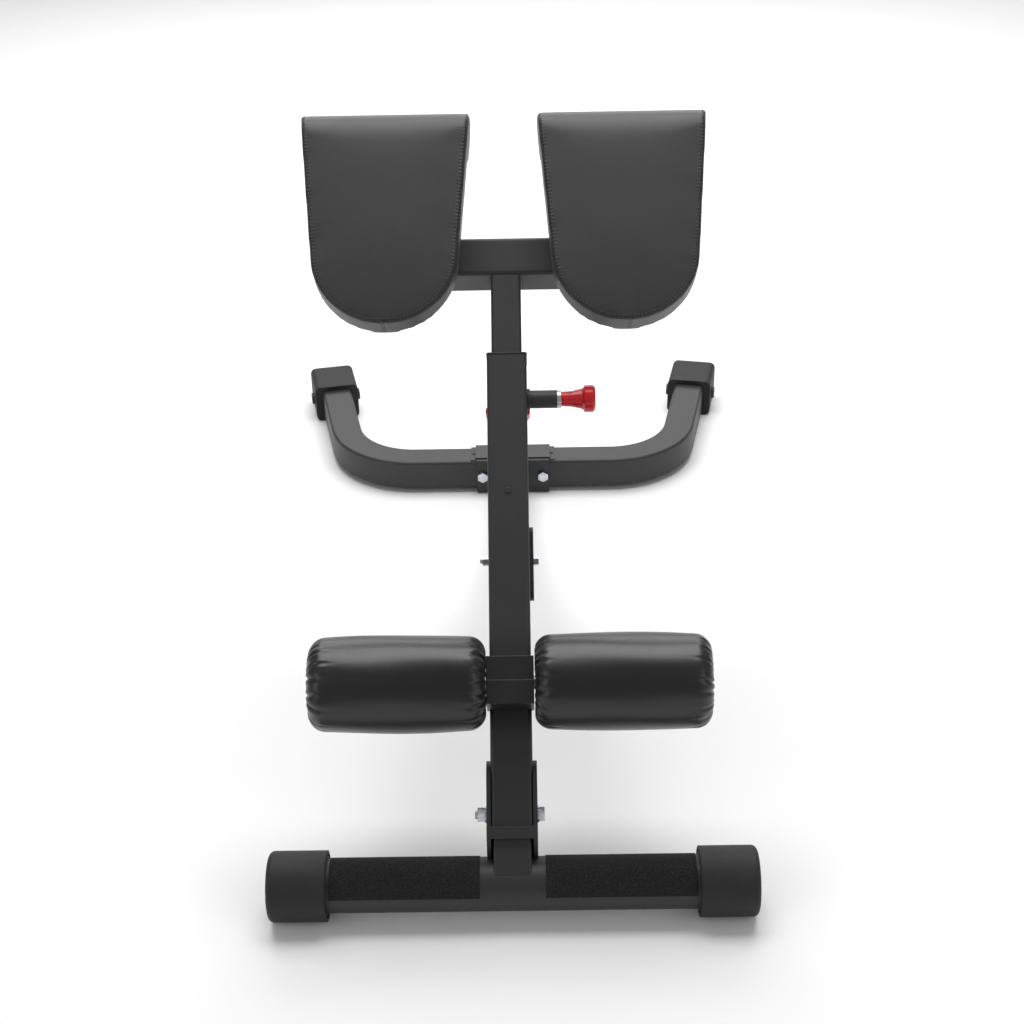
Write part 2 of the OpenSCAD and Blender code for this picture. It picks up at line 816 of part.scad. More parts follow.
module pivot_bolt() {
    grip = main_tube_size + nut_height + keeper_plate;
    color(zinc) at_pivot() translate([tube_half + keeper_plate, 0, 0]) {
        rod_x(-grip - thread_tail, grip + thread_tail, pivot_diameter);
        rod_x(0, bolt_head_height, pivot_hex / cos(30), hex_sides);
    }
}

module pivot_nut() {
    color(zinc) at_pivot() translate([-tube_half - nut_height, 0, 0]) difference() {
        rod_x(0, nut_height, pivot_hex / cos(30), hex_sides);
        rod_x(-cut, nut_height + 2 * cut, pivot_diameter, smooth);
    }
}

module pivot_washers() {
    color(rubber_black) at_pivot() for (x = [-cheek_face, cheek_face - pivot_washer]) {
        translate([x, 0, 0]) difference() {
            rod_x(0, pivot_washer, leg_size - 8, small_smooth);
            rod_x(-cut, pivot_washer + 2 * cut, pivot_diameter + bolt_clearance, small_smooth);
        }
    }
}

module pivot_keeper() {
    color(steel_black) at_pivot() across(tube_half, keeper_plate) difference() {
        union() {
            translate([keeper_rise, 0]) circle(d = keeper_width, $fn = small_smooth);
            translate([-keeper_length, 0]) circle(d = keeper_width, $fn = small_smooth);
            translate([-keeper_length, -keeper_width / 2]) square([keeper_length + keeper_rise, keeper_width]);
        }
        circle(d = pivot_diameter + bolt_clearance, $fn = small_smooth);
    }
}

// ---- post ----

module post_tube() {
    color(steel_black) inclined() difference() {
        along(post_bottom, post_length) tube_profile(post_size, post_size, post_wall, tube_corner - 1);
        for (i = [-holes_below : holes_above]) {
            translate([0, pin_y + i * hole_pitch, 0]) rod_x(0, post_size, post_hole, small_smooth);
        }
    }
}

module post_glide() {
    inner = post_size - 2 * post_wall;
    glide = main_tube_bore - 2 * post_clearance;
    color(rubber_black) inclined() {
        along(post_bottom, plug_insert) tube_profile(inner, inner, plug_flange, tube_corner - post_wall - 1);
        along(post_bottom - plug_flange, plug_flange) rounded(glide, glide, tube_corner - main_tube_wall);
    }
}

module crossbar() {
    color(steel_black) inclined() translate([0, crossbar_y + crossbar_height / 2, crossbar_front - crossbar_depth / 2]) difference() {
        across(-crossbar_length / 2, crossbar_length) tube_profile(crossbar_height, crossbar_depth, crossbar_wall, tube_corner);
        pad_bolt_holes(-crossbar_depth, 2 * crossbar_depth, pad_bolt_diameter + bolt_clearance);
    }
}

module pad_bolt_holes(start, length, diameter) {
    for (side = [-1, 1], step = [-1, 1]) {
        translate([side * pad_spacing / 2 + step * pad_bolt_spacing / 2, 0, 0]) rod_z(start, length, diameter, small_smooth);
    }
}

module crossbar_plugs() {
    inner_y = crossbar_height - 2 * crossbar_wall;
    inner_z = crossbar_depth - 2 * crossbar_wall;
    color(rubber_black) inclined() translate([0, crossbar_y + crossbar_height / 2, crossbar_front - crossbar_depth / 2])
        for (side = [-1, 1]) {
            across(side > 0 ? crossbar_length / 2 : -crossbar_length / 2 - plug_flange, plug_flange)
                rounded(crossbar_height, crossbar_depth, tube_corner);
            across(side > 0 ? crossbar_length / 2 - plug_insert : -crossbar_length / 2, plug_insert)
                tube_profile(inner_y, inner_z, plug_flange, tube_corner - crossbar_wall);
        }
}

// ---- thigh pads ----

module pad_outline(inset, top) {
    radius = pad_radius - inset;
    half_top = pad_radius + (top - pad_centre_y) * tan(pad_taper) - inset / cos(pad_taper)
        + pad_radius * (1 / cos(pad_taper) - 1);
    x_touch = radius * cos(pad_taper);
    y_touch = pad_centre_y - radius * sin(pad_taper);
    translate([0, pad_centre_y]) circle(r = radius, $fn = smooth);
    polygon([[-x_touch, y_touch], [x_touch, y_touch], [half_top, top], [-half_top, top]]);
}

module pad_board(side) {
    color(plywood) inclined() translate([side * pad_spacing / 2, 0, 0]) difference() {
        translate([0, 0, board_back]) linear_extrude(board_thickness) pad_outline(board_inset, board_top);
        for (step = [-1, 1]) {
            translate([step * pad_bolt_spacing / 2, crossbar_y + crossbar_height / 2, 0]) {
                rod_z(board_back - cut, board_thickness + 2 * cut, tee_barrel, small_smooth);
                rod_z(board_front - tee_thickness, tee_thickness + cut, tee_flange, small_smooth);
            }
        }
    }
}

module pad_board_left() {
    pad_board(-1);
}

module pad_board_right() {
    pad_board(1);
}

module cushion_side() {
    translate([pad_low, board_front]) square([roll_y - pad_low, cushion_thickness]);
    translate([roll_y, roll_z]) circle(r = cushion_roll, $fn = smooth);
}

module pad_cushion(side) {
    color(vinyl_black) inclined() translate([side * pad_spacing / 2, 0, 0]) intersection() {
        translate([0, 0, roll_z - cushion_roll]) linear_extrude(2 * cushion_roll + cushion_thickness) pad_outline(0, pad_top);
        across(-pad_top_width, 2 * pad_top_width) cushion_side();
    }
}

module pad_cushion_left() {
    pad_cushion(-1);
}

module pad_cushion_right() {
    pad_cushion(1);
}

module pad_bolts() {
    back = crossbar_front - crossbar_depth;
    color(zinc) inclined() translate([0, crossbar_y + crossbar_height / 2, 0]) {
        pad_bolt_holes(back - cut, crossbar_depth + cut + board_thickness - tee_thickness, pad_bolt_diameter);
        pad_bolt_holes(back - 5, 5, 14);
    }
}

module pad_tee_nuts() {
    color(zinc) inclined() translate([0, crossbar_y + crossbar_height / 2, 0]) difference() {
        union() {
            pad_bolt_holes(board_back, board_thickness, tee_barrel);
            pad_bolt_holes(board_front - tee_thickness, tee_thickness, tee_flange);
        }
        pad_bolt_holes(board_back - cut, board_thickness + 2 * cut, pad_bolt_diameter);
    }
}

// ---- rear leg ----

module rear_leg() {
    inner = leg_half - leg_wall;
    color(steel_black) at_leg() difference() {
        across(-leg_half, leg_size) union() {
            circle(r = leg_half, $fn = smooth);
            polygon([[0, -leg_half], [leg_length + leg_skew, -leg_half], [leg_length - leg_skew, leg_half], [0, leg_half]]);
        }
        translate([-inner, leg_half + bush_wall, -inner]) cube([2 * inner, leg_length, 2 * inner]);
        rod_x(-leg_half - cut, leg_size + 2 * cut, pivot_diameter + 2 * pivot_clearance + 2 * bush_wall);
    }
}

module pivot_bush() {
    outer = pivot_diameter + 2 * pivot_clearance + 2 * bush_wall;
    color(zinc) at_leg() difference() {
        rod_x(-leg_half, leg_size, outer);
        rod_x(-leg_half - cut, leg_size + 2 * cut, pivot_diameter + 2 * pivot_clearance);
    }
}

module saddle_bracket() {
    top = rear_bar_lift + rear_bar_size;
    bottom = 2;
    color(steel_black) placed() difference() {
        union() {
            translate([-saddle_width / 2, base_length - saddle_plate, bottom])
                cube([saddle_width, saddle_plate, top + saddle_plate - bottom]);
            translate([-saddle_width / 2, base_length - saddle_plate, top])
                cube([saddle_width, rear_bar_size + saddle_plate, saddle_plate]);
        }
        saddle_bolt_voids();
    }
}

module saddle_bolt_voids() {
    for (side = [-1, 1]) {
        translate([side * saddle_bolt_spacing / 2, base_length - 2 * rear_bar_size, rear_axis_z]) rotate([-90, 0, 0])
            cylinder(d = bolt_hole, h = 4 * rear_bar_size, $fn = small_smooth);
    }
}

module cover_plate() {
    top = rear_bar_lift + rear_bar_size;
    depth = rear_bar_size - 6;
    middle = saddle_width + 2 * cover_thickness;
    color(steel_black) placed() translate([0, base_length + 3, top]) difference() {
        union() {
            translate([-middle / 2, 0, saddle_plate]) cube([middle, depth, cover_thickness]);
            for (side = [-1, 1]) {
                translate([side > 0 ? saddle_width / 2 : -middle / 2, 0, 0]) cube([cover_thickness, depth, saddle_plate + cut]);
                translate([side > 0 ? saddle_width / 2 : -cover_width / 2, 0, 0])
                    cube([(cover_width - saddle_width) / 2, depth, cover_thickness]);
            }
        }
        for (side = [-1, 1]) {
            translate([side * cover_rivet_x, depth / 2, -cut]) cylinder(d = rivet_diameter / 2, h = saddle_plate, $fn = small_smooth);
        }
    }
}

module cover_rivets() {
    top = rear_bar_lift + rear_bar_size;
    depth = rear_bar_size - 6;
    color(steel_black) placed() for (side = [-1, 1]) {
        translate([side * cover_rivet_x, base_length + 3 + depth / 2, top]) {
            cylinder(d = rivet_diameter / 2, h = cover_thickness, $fn = small_smooth);
            translate([0, 0, cover_thickness]) cylinder(d = rivet_diameter, h = 1.2, $fn = small_smooth);
        }
    }
}

// ---- rear base ----

module bar_section(inset) {
    size = rear_bar_size - 2 * inset;
    rounded(size, size, max(tube_corner - inset, 1));
}

module at_bend(side) {
    translate([side * straight_half, bend_radius, 0]) children();
}

module at_arm(side) {
    at_bend(side) rotate([0, 0, -side * arm_splay]) translate([side * bend_radius, 0, 0]) children();
}

module at_bar() {
    placed() translate([0, rear_axis_y, rear_axis_z]) children();
}

module bar_shape(inset, past) {
    across(-straight_half - bend_lap, 2 * (straight_half + bend_lap)) bar_section(inset);
    for (side = [-1, 1]) {
        at_bend(side) rotate([0, 0, side > 0 ? -90 : -90 - bend_angle])
            rotate_extrude(angle = bend_angle, $fn = 2 * smooth) translate([bend_radius, 0]) bar_section(inset + bend_draw);
        at_arm(side) along(-bend_lap, arm_length + bend_lap + past) bar_section(inset);
    }
}

module rear_bar() {
    color(steel_black) at_bar() difference() {
        bar_shape(0, 0);
        bar_shape(rear_bar_wall, cut);
        for (side = [-1, 1]) {
            at_arm(side) translate([0, arm_length - foot_block_length / 2, 0])
                rod_x(-rear_bar_size, 2 * rear_bar_size, foot_bolt_diameter + bolt_clearance, small_smooth);
        }
        translate([0, -rear_axis_y, -rear_axis_z]) saddle_bolt_voids();
    }
}

module saddle_bolts() {
    grip = saddle_plate + rear_bar_size + nut_height;
    color(zinc) placed() for (side = [-1, 1]) {
        translate([side * saddle_bolt_spacing / 2, base_length - saddle_plate, rear_axis_z]) rotate([0, 0, -90])
            hex_bolt(grip, bolt_diameter, bolt_head_height, hex_across);
    }
}

module saddle_nuts() {
    color(zinc) placed() for (side = [-1, 1]) {
        translate([side * saddle_bolt_spacing / 2, base_length + rear_bar_size, rear_axis_z]) rotate([-90, 0, 0]) difference() {
            cylinder(d = hex_across / cos(30), h = nut_height, $fn = hex_sides);
            translate([0, 0, -cut]) cylinder(d = bolt_diameter, h = nut_height + 2 * cut, $fn = small_smooth);
        }
    }
}

module rear_foot(side) {
    pocket = foot_block_length - foot_block_wall;
    color(rubber_black) at_bar() at_arm(side) translate([0, arm_length - pocket, 0]) difference() {
        translate([0, 0, foot_block_height / 2 - rear_axis_z]) along(0, foot_block_length)
            rounded(foot_block_width, foot_block_height, foot_block_corner);
        along(-cut, pocket + cut) rounded(rear_bar_size, rear_bar_size, tube_corner);
        translate([0, pocket - foot_block_length / 2, 0])
            rod_x(-foot_block_width, 2 * foot_block_width, foot_bolt_diameter + bolt_clearance, small_smooth);
    }
}

module rear_foot_left() {
    rear_foot(-1);
}

module rear_foot_right() {
    rear_foot(1);
}

module rear_foot_bolts() {
    color(steel_black) at_bar() for (side = [-1, 1]) {
        at_arm(side) translate([0, arm_length - foot_block_length / 2, 0]) {
            rod_x(-foot_block_width / 2, foot_block_width, foot_bolt_diameter, small_smooth);
            for (end = [-foot_block_width / 2 - foot_bolt_head, foot_block_width / 2]) {
                rod_x(end, foot_bolt_head, foot_bolt_diameter * 2, small_smooth);
            }
        }
    }
}

front_foot_tube();
front_cap_left();
front_cap_right();
grip_tape_left();
grip_tape_right();
front_socket();
foot_stub();
socket_bolt();
socket_nut();
socket_washers();
main_tube();
main_tube_liner();
liner_screw();
pin_barrel();
pin_ferrule();
clamp_boss();
roller_block_upper();
roller_block_lower();
roller_axle();
axle_caps();
pivot_bracket();
pivot_bolt();
pivot_nut();
pivot_washers();
pivot_keeper();
post_tube();
post_glide();
crossbar();
crossbar_plugs();
pad_board_left();
pad_board_right();
pad_cushion_left();
pad_cushion_right();
pad_bolts();
pad_tee_nuts();
locking_pin();
pin_spring();
pull_knob();
clamp_knob();
clamp_screw();
roller_sleeve_left();
roller_sleeve_right();
roller_foam_left();
roller_foam_right();
rear_leg();
pivot_bush();
saddle_bracket();
cover_plate();
cover_rivets();
rear_bar();
saddle_bolts();
saddle_nuts();
rear_foot_left();
rear_foot_right();
rear_foot_bolts();
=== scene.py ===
import json
import math
import random

import bmesh
import bpy
import numpy as np
from bpy.props import FloatProperty, FloatVectorProperty, IntProperty, PointerProperty
from mathutils import Matrix, Vector
from mathutils.bvhtree import BVHTree
from mathutils.kdtree import KDTree


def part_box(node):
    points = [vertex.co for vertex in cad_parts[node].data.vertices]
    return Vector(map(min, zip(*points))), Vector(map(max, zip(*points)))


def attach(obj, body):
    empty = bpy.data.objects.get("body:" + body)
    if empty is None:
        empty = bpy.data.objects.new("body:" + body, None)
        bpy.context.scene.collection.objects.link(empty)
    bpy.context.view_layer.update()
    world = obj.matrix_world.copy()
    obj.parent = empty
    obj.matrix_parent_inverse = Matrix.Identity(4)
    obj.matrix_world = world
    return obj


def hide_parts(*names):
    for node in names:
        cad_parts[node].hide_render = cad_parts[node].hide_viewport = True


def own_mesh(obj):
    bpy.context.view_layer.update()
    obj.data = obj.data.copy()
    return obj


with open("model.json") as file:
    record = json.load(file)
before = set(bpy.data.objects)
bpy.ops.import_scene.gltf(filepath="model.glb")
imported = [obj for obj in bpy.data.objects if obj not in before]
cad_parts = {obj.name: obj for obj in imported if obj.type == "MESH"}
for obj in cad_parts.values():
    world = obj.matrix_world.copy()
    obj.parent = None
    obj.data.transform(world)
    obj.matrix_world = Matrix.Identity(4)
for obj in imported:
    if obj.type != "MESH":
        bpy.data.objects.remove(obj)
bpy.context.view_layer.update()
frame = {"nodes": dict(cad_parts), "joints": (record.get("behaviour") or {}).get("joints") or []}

bl_info = {
    "name": "Hyperextension bench finishes",
    "version": (1, 0, 0),
    "blender": (4, 5, 0),
    "location": "3D View > Sidebar > Bench",
    "description": "Dresses the hyperextension bench in paint, vinyl, rubber and plated steel",
    "category": "Object",
}

NODES = frame["nodes"]
JOINTS = {joint["name"]: joint for joint in frame["joints"]}

# The slope frame: X across the bench, T up the main tube, N out of the tube's front face.
SLOPE = Vector(JOINTS["post_slide"]["axis"]).normalized()
NORMAL = Vector((0, -SLOPE.z, SLOPE.y))
ROLLER_AXIS = Vector(JOINTS["roller_left_spin"]["pos_m"])


# ---------------------------------------------------------------- sizes and colours

class BenchPadSettings(bpy.types.PropertyGroup):
    """Sizes and colour of the thigh pads"""
    puff: FloatProperty(
        name="Puff", description="Furthest the cover swells past the foam",
        default=0.0065, min=0.001, max=0.012, unit="LENGTH")
    voxel: FloatProperty(
        name="Cloth grid", description="Grid of the cover while it is simulated",
        default=0.0046, min=0.004, max=0.008, unit="LENGTH")
    stitch: FloatProperty(
        name="Stitch pitch", description="Distance between stitches",
        default=0.0048, min=0.003, max=0.008, unit="LENGTH")
    seam_inset: FloatProperty(
        name="Topstitch inset", description="Distance of the topstitch from the seam",
        default=0.0042, min=0.002, max=0.008, unit="LENGTH")
    vinyl: FloatVectorProperty(
        name="Vinyl", description="Colour of the pad vinyl",
        subtype="COLOR", default=(0.0135, 0.0135, 0.0145), min=0, max=1)


class BenchRollerSettings(bpy.types.PropertyGroup):
    """Sizes and colour of the ankle rollers"""
    pleats: IntProperty(
        name="Pleats", description="Gathers round each end", default=19, min=8, max=40)
    pleat_depth: FloatProperty(
        name="Pleat depth", description="Depth of the gathers",
        default=0.0026, min=0.0, max=0.008, unit="LENGTH")
    barrel: FloatProperty(
        name="Barrel", description="How much the ends draw in",
        default=0.0035, min=0.0, max=0.01, unit="LENGTH")
    vinyl: FloatVectorProperty(
        name="Vinyl", description="Colour of the roller vinyl",
        subtype="COLOR", default=(0.0062, 0.0062, 0.0066), min=0, max=1)


class BenchFrameSettings(bpy.types.PropertyGroup):
    """Colours of the frame and its fittings"""
    paint: FloatVectorProperty(
        name="Paint", description="Colour of the powder coat",
        subtype="COLOR", default=(0.021, 0.0212, 0.0232), min=0, max=1)
    rubber: FloatVectorProperty(
        name="Rubber", description="Colour of the feet and caps",
        subtype="COLOR", default=(0.0155, 0.0155, 0.0162), min=0, max=1)
    plastic: FloatVectorProperty(
        name="Plastic", description="Colour of the plastic fittings",
        subtype="COLOR", default=(0.0085, 0.0085, 0.009), min=0, max=1)
    red: FloatVectorProperty(
        name="Knob red", description="Colour of the knobs",
        subtype="COLOR", default=(0.56, 0.008, 0.016), min=0, max=1)
    zinc: FloatVectorProperty(
        name="Zinc", description="Colour of the plated fasteners",
        subtype="COLOR", default=(0.62, 0.66, 0.70), min=0, max=1)
    soften: FloatProperty(
        name="Edge softening", description="Rounding shown on hard edges",
        default=0.0012, min=0.0, max=0.004, unit="LENGTH")


class BenchStageSettings(bpy.types.PropertyGroup):
    """Camera and lights"""
    lens: FloatProperty(
        name="Lens", description="Focal length in millimetres", default=61.49, min=20, max=200)
    key: FloatProperty(
        name="Key light", description="Power of the large overhead light",
        default=95.0, min=0, max=500, unit="POWER")
    fill: FloatProperty(
        name="Fill lights", description="Power of the two front lights",
        default=15.0, min=0, max=500, unit="POWER")
    floor: FloatVectorProperty(
        name="Floor", description="Colour of the floor",
        subtype="COLOR", default=(0.93, 0.93, 0.93), min=0, max=1)


# ---------------------------------------------------------------- shader building

class Signal:
    """A shader socket that Python's operators work on."""

    def __init__(self, shade, socket):
        self.shade = shade
        self.socket = socket

    def _math(self, operation, a, b):
        return self.shade.node("ShaderNodeMath", {"operation": operation}, {0: a, 1: b})

    def __add__(self, other):
        return self._math("ADD", self, other)

    def __radd__(self, other):
        return self._math("ADD", other, self)

    def __sub__(self, other):
        return self._math("SUBTRACT", self, other)

    def __rsub__(self, other):
        return self._math("SUBTRACT", other, self)

    def __mul__(self, other):
        return self._math("MULTIPLY", self, other)

    def __rmul__(self, other):
        return self._math("MULTIPLY", other, self)

    def below(self, limit):
        return self._math("LESS_THAN", self, limit)

    def smooth(self, low, high, out_low=0.0, out_high=1.0):
        """A smooth step from out_low at low to out_high at high."""
        return self.shade.node(
            "ShaderNodeMapRange", {"interpolation_type": "SMOOTHSTEP"},
            {"Value": self, "From Min": low, "From Max": high, "To Min": out_low, "To Max": out_high})


class Shade:
    """One procedural material."""

    def __init__(self, name):
        self.material = bpy.data.materials.new(name)
        self.material.use_nodes = True
        self.tree = self.material.node_tree
        self.tree.nodes.clear()
        self.output = self.tree.nodes.new("ShaderNodeOutputMaterial")
        self.surface = self.tree.nodes.new("ShaderNodeBsdfPrincipled")
        self.tree.links.new(self.surface.outputs["BSDF"], self.output.inputs["Surface"])

    def node(self, kind, settings=None, values=None, out=0):
        made = self.tree.nodes.new(kind)
        for key, value in (settings or {}).items():
            setattr(made, key, value)
        for key, value in (values or {}).items():
            if isinstance(value, Signal):
                self.tree.links.new(value.socket, made.inputs[key])
            else:
                made.inputs[key].default_value = value
        return Signal(self, made.outputs[out])

    def set(self, **values):
        for key, value in values.items():
            name = key.replace("_", " ")
            if isinstance(value, Signal):
                self.tree.links.new(value.socket, self.surface.inputs[name])
            else:
                self.surface.inputs[name].default_value = value
        return self.material

    def position(self):
        return self.node("ShaderNodeTexCoord", out="Object")

    def noise(self, scale, detail=3.0, roughness=0.55, where=None):
        values = {"Vector": where or self.position(), "Scale": scale}
        values.update({"Detail": detail, "Roughness": roughness})
        return self.node("ShaderNodeTexNoise", {}, values, out="Fac")

    def voronoi(self, scale, feature="F1"):
        values = {"Vector": self.position(), "Scale": scale}
        return self.node("ShaderNodeTexVoronoi", {"feature": feature}, values, out="Distance")

    def attribute(self, name):
        return self.node("ShaderNodeAttribute", {"attribute_name": name}, out="Fac")

    def mix(self, factor, a, b):
        def colour(value):
            return value if isinstance(value, Signal) else (*value[:3], 1.0)
        values = {"Factor": factor, 6: colour(a), 7: colour(b)}
        return self.node("ShaderNodeMix", {"data_type": "RGBA"}, values, out=2)

    def bump(self, height, distance, strength, normal=None):
        values = {"Height": height, "Distance": distance, "Strength": strength}
        if normal is not None:
            values["Normal"] = normal
        return self.node("ShaderNodeBump", {}, values, out="Normal")

    def edges(self, radius):
        """The softened normal, and a mask that is 1 on hard edges."""
        soft = self.node("ShaderNodeBevel", {"samples": 6}, {"Radius": radius}, out="Normal")
        flat = self.node("ShaderNodeNewGeometry", out="Normal")
        values = {0: soft, 1: flat}
        same = self.node("ShaderNodeVectorMath", {"operation": "DOT_PRODUCT"}, values, out="Value")
        return soft, (1.0 - same).smooth(0.015, 0.16)


def tint(colour, factor):
    """The colour made darker or paler."""
    return tuple(min(1.0, channel * factor) for channel in colour[:3])


def powder_coat(name, colour, soften):
    """Satin powder coat: orange peel, a little dust, and a painted highlight along the rounded edges."""
    shade = Shade(name)
    soft, edge = shade.edges(soften)
    peel = shade.noise(900.0, 2.0, 0.5)
    broad = shade.noise(7.0, 4.0, 0.6)
    speck = shade.voronoi(1400.0).below(0.055)
    tone = shade.mix(broad.smooth(0.3, 0.7), tint(colour, 0.90), tint(colour, 1.12))
    # Painted highlight: the rounded edges are paled where a light would catch them.
    tone = shade.mix(edge * 0.55, tone, tint(colour, 2.1))
    tone = shade.mix(speck * 0.35, tone, tint(colour, 2.6))
    rough = 0.43 + broad * 0.10 + peel * 0.06 - edge * 0.08
    return shade.set(
        Base_Color=tone, Roughness=rough, Metallic=0.0, Normal=shade.bump(peel, 0.00012, 0.32, soft),
        Specular_IOR_Level=0.48, Coat_Weight=0.05, Coat_Roughness=0.35)


def moulded_rubber(name, colour, soften):
    """Moulded rubber: fine pebble, a bloom of grey dust, scuffed edges."""
    shade = Shade(name)
    soft, edge = shade.edges(soften)
    pebble = shade.voronoi(1500.0)
    cloud = shade.noise(24.0, 5.0, 0.65)
    scuff = shade.noise(160.0, 6.0, 0.7).smooth(0.56, 0.72)
    tone = shade.mix(cloud.smooth(0.35, 0.7), tint(colour, 0.85), tint(colour, 1.25))
    tone = shade.mix(scuff * edge, tone, tint(colour, 2.4))
    rough = 0.58 + cloud * 0.14 - edge * 0.06
    return shade.set(
        Base_Color=tone, Roughness=rough, Normal=shade.bump(pebble, 0.00016, 0.35, soft),
        Specular_IOR_Level=0.42)


def moulded_plastic(name, colour, soften, roughness=0.34):
    """Injection-moulded plastic: faint flow texture and a painted highlight along the edges."""
    shade = Shade(name)
    soft, edge = shade.edges(soften)
    flow = shade.noise(45.0, 4.0, 0.6)
    grain = shade.noise(1700.0, 2.0, 0.5)
    tone = shade.mix(flow.smooth(0.35, 0.7), tint(colour, 0.92), tint(colour, 1.10))
    # Painted highlight: the edges are paled where a light would catch them.
    tone = shade.mix(edge * 0.4, tone, tint(colour, 1.5))
    rough = roughness + flow * 0.10
    return shade.set(
        Base_Color=tone, Roughness=rough, Normal=shade.bump(grain, 0.00005, 0.25, soft),
        Specular_IOR_Level=0.5)


ZINC_SOFTENING = 0.0004
# Painted highlight: the pale colour laid on the plated edges.
ZINC_EDGE_HIGHLIGHT = (0.9, 0.92, 0.94)


def zinc_plate(name, colour):
    """Bright zinc: turned marks, blue-grey clouding and a painted highlight along the edges."""
    shade = Shade(name)
    soft, edge = shade.edges(ZINC_SOFTENING)
    cloud = shade.noise(140.0, 4.0, 0.6)
    turned = shade.noise(2600.0, 1.0, 0.4)
    tone = shade.mix(cloud.smooth(0.3, 0.7), tint(colour, 0.80), tint(colour, 1.08))
    # Painted highlight along the edges.
    tone = shade.mix(edge * 0.5, tone, ZINC_EDGE_HIGHLIGHT)
    rough = 0.24 + cloud * 0.16
    return shade.set(
        Base_Color=tone, Roughness=rough, Metallic=1.0, Normal=shade.bump(turned, 0.00004, 0.3, soft))


GRIT_DARK, GRIT_PALE = (0.006, 0.006, 0.006), (0.021, 0.021, 0.0215)
GRIT_GLINT = (0.10, 0.10, 0.105)


def grit_tape(name):
    """Coarse grit tape: packed grains that catch the light here and there."""
    shade = Shade(name)
    grain = shade.voronoi(1050.0)
    fine = shade.noise(1900.0, 3.0, 0.6)
    clump = shade.noise(520.0, 3.0, 0.7)
    glint = (1.0 - grain).smooth(0.80, 0.97) * fine.smooth(0.50, 0.62)
    tone = shade.mix(clump.smooth(0.35, 0.68), GRIT_DARK, GRIT_PALE)
    tone = shade.mix(glint * 0.8, tone, GRIT_GLINT)
    rough = 0.92 - glint * 0.4
    height = (1.0 - grain) * 0.8 + fine * 0.35 + clump * 0.5
    return shade.set(
        Base_Color=tone, Roughness=rough, Normal=shade.bump(height, 0.0007, 0.9), Specular_IOR_Level=0.35)


BIRCH_DARK, BIRCH_PALE = (0.36, 0.22, 0.11), (0.62, 0.44, 0.25)
BIRCH_STRETCH = (60.0, 4.0, 4.0)


def plywood_finish(name):
    """Birch plywood with long grain."""
    shade = Shade(name)
    values = {"Vector": shade.position(), "Scale": BIRCH_STRETCH}
    stretched = shade.node("ShaderNodeMapping", {}, values, out="Vector")
    grain = shade.noise(2.6, 6.0, 0.65, stretched)
    tone = shade.mix(grain.smooth(0.3, 0.7), BIRCH_DARK, BIRCH_PALE)
    return shade.set(Base_Color=tone, Roughness=0.62 + grain * 0.2, Normal=shade.bump(grain, 0.0002, 0.3))


def vinyl(name, colour, roughness, grain_scale=620.0, seams=False):
    """Upholstery vinyl: leather grain with painted shade in its creases, and a sunk, puckered line along each
    seam, darkened with painted shade.
    """
    shade = Shade(name)
    cells = shade.voronoi(grain_scale, "DISTANCE_TO_EDGE")
    pores = shade.voronoi(grain_scale * 2.3)
    broad = shade.noise(9.0, 3.0, 0.5)
    drift = shade.noise(34.0, 4.0, 0.6)
    tone = shade.mix(broad.smooth(0.3, 0.7), tint(colour, 0.92), tint(colour, 1.10))
    # Painted shade: the creases between the grain's cells are darkened where the bump sinks.
    tone = shade.mix(cells.smooth(0.0, 0.12, 0.30, 0.0), tone, tint(colour, 0.62))
    rough = roughness + drift * 0.10 + cells.smooth(0.0, 0.2, 0.06, 0.0)
    height = cells.smooth(0.0, 0.25) * 0.7 + pores * 0.3
    normal = shade.bump(height, 0.00016, 0.36)
    if seams:
        near = shade.attribute("seam_gap")
        line = near.smooth(0.0, 0.0011, 1.0, 0.0)
        roll = near.smooth(0.0005, 0.0048)
        # Painted shade: a near-black line in the sunk seam, where the groove lies in shade.
        tone = shade.mix(line, tone, tint(colour, 0.12))
        rough = rough + line * 0.3
        pucker = shade.attribute("seam_run")
        wave = shade.node("ShaderNodeMath", {"operation": "SINE"}, {0: pucker * 1300.0})
        gathers = wave * near.smooth(0.0015, 0.010, 1.0, 0.0)
        normal = shade.bump(roll + gathers * 0.16, 0.0019, 0.85, normal)
    return shade.set(
        Base_Color=tone, Roughness=rough, Normal=normal, Specular_IOR_Level=0.5,
        Coat_Weight=0.12, Coat_Roughness=max(0.08, roughness - 0.12), Sheen_Weight=0.04, Sheen_Roughness=0.5)


def thread_finish(name, colour):
    """Bonded thread with a twist."""
    shade = Shade(name)
    twist = shade.noise(3200.0, 2.0, 0.6)
    tone = shade.mix(twist.smooth(0.3, 0.7), tint(colour, 0.7), tint(colour, 1.3))
    return shade.set(
        Base_Color=tone, Roughness=0.45, Normal=shade.bump(twist, 0.00008, 0.4), Sheen_Weight=0.2)


# ---------------------------------------------------------------- mesh helpers

def finish_of(name):
    return bpy.data.materials[name]


def assign(node, material):
    """Gives a CAD node its finish."""
    data = NODES[node].data
    data.materials.clear()
    data.materials.append(material)


def piece(name, vertices, faces, material, body, sharp):
    """A new mesh object, smooth apart from edges sharper than the given degrees."""
    data = bpy.data.meshes.new(name)
    data.from_pydata([tuple(v) for v in vertices], [], faces)
    data.update()
    made = bpy.data.objects.new(name, data)
    bpy.context.collection.objects.link(made)
    data.shade_smooth()
    data.set_sharp_from_angle(angle=math.radians(sharp))
    data.materials.append(material)
    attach(made, body)
    return made


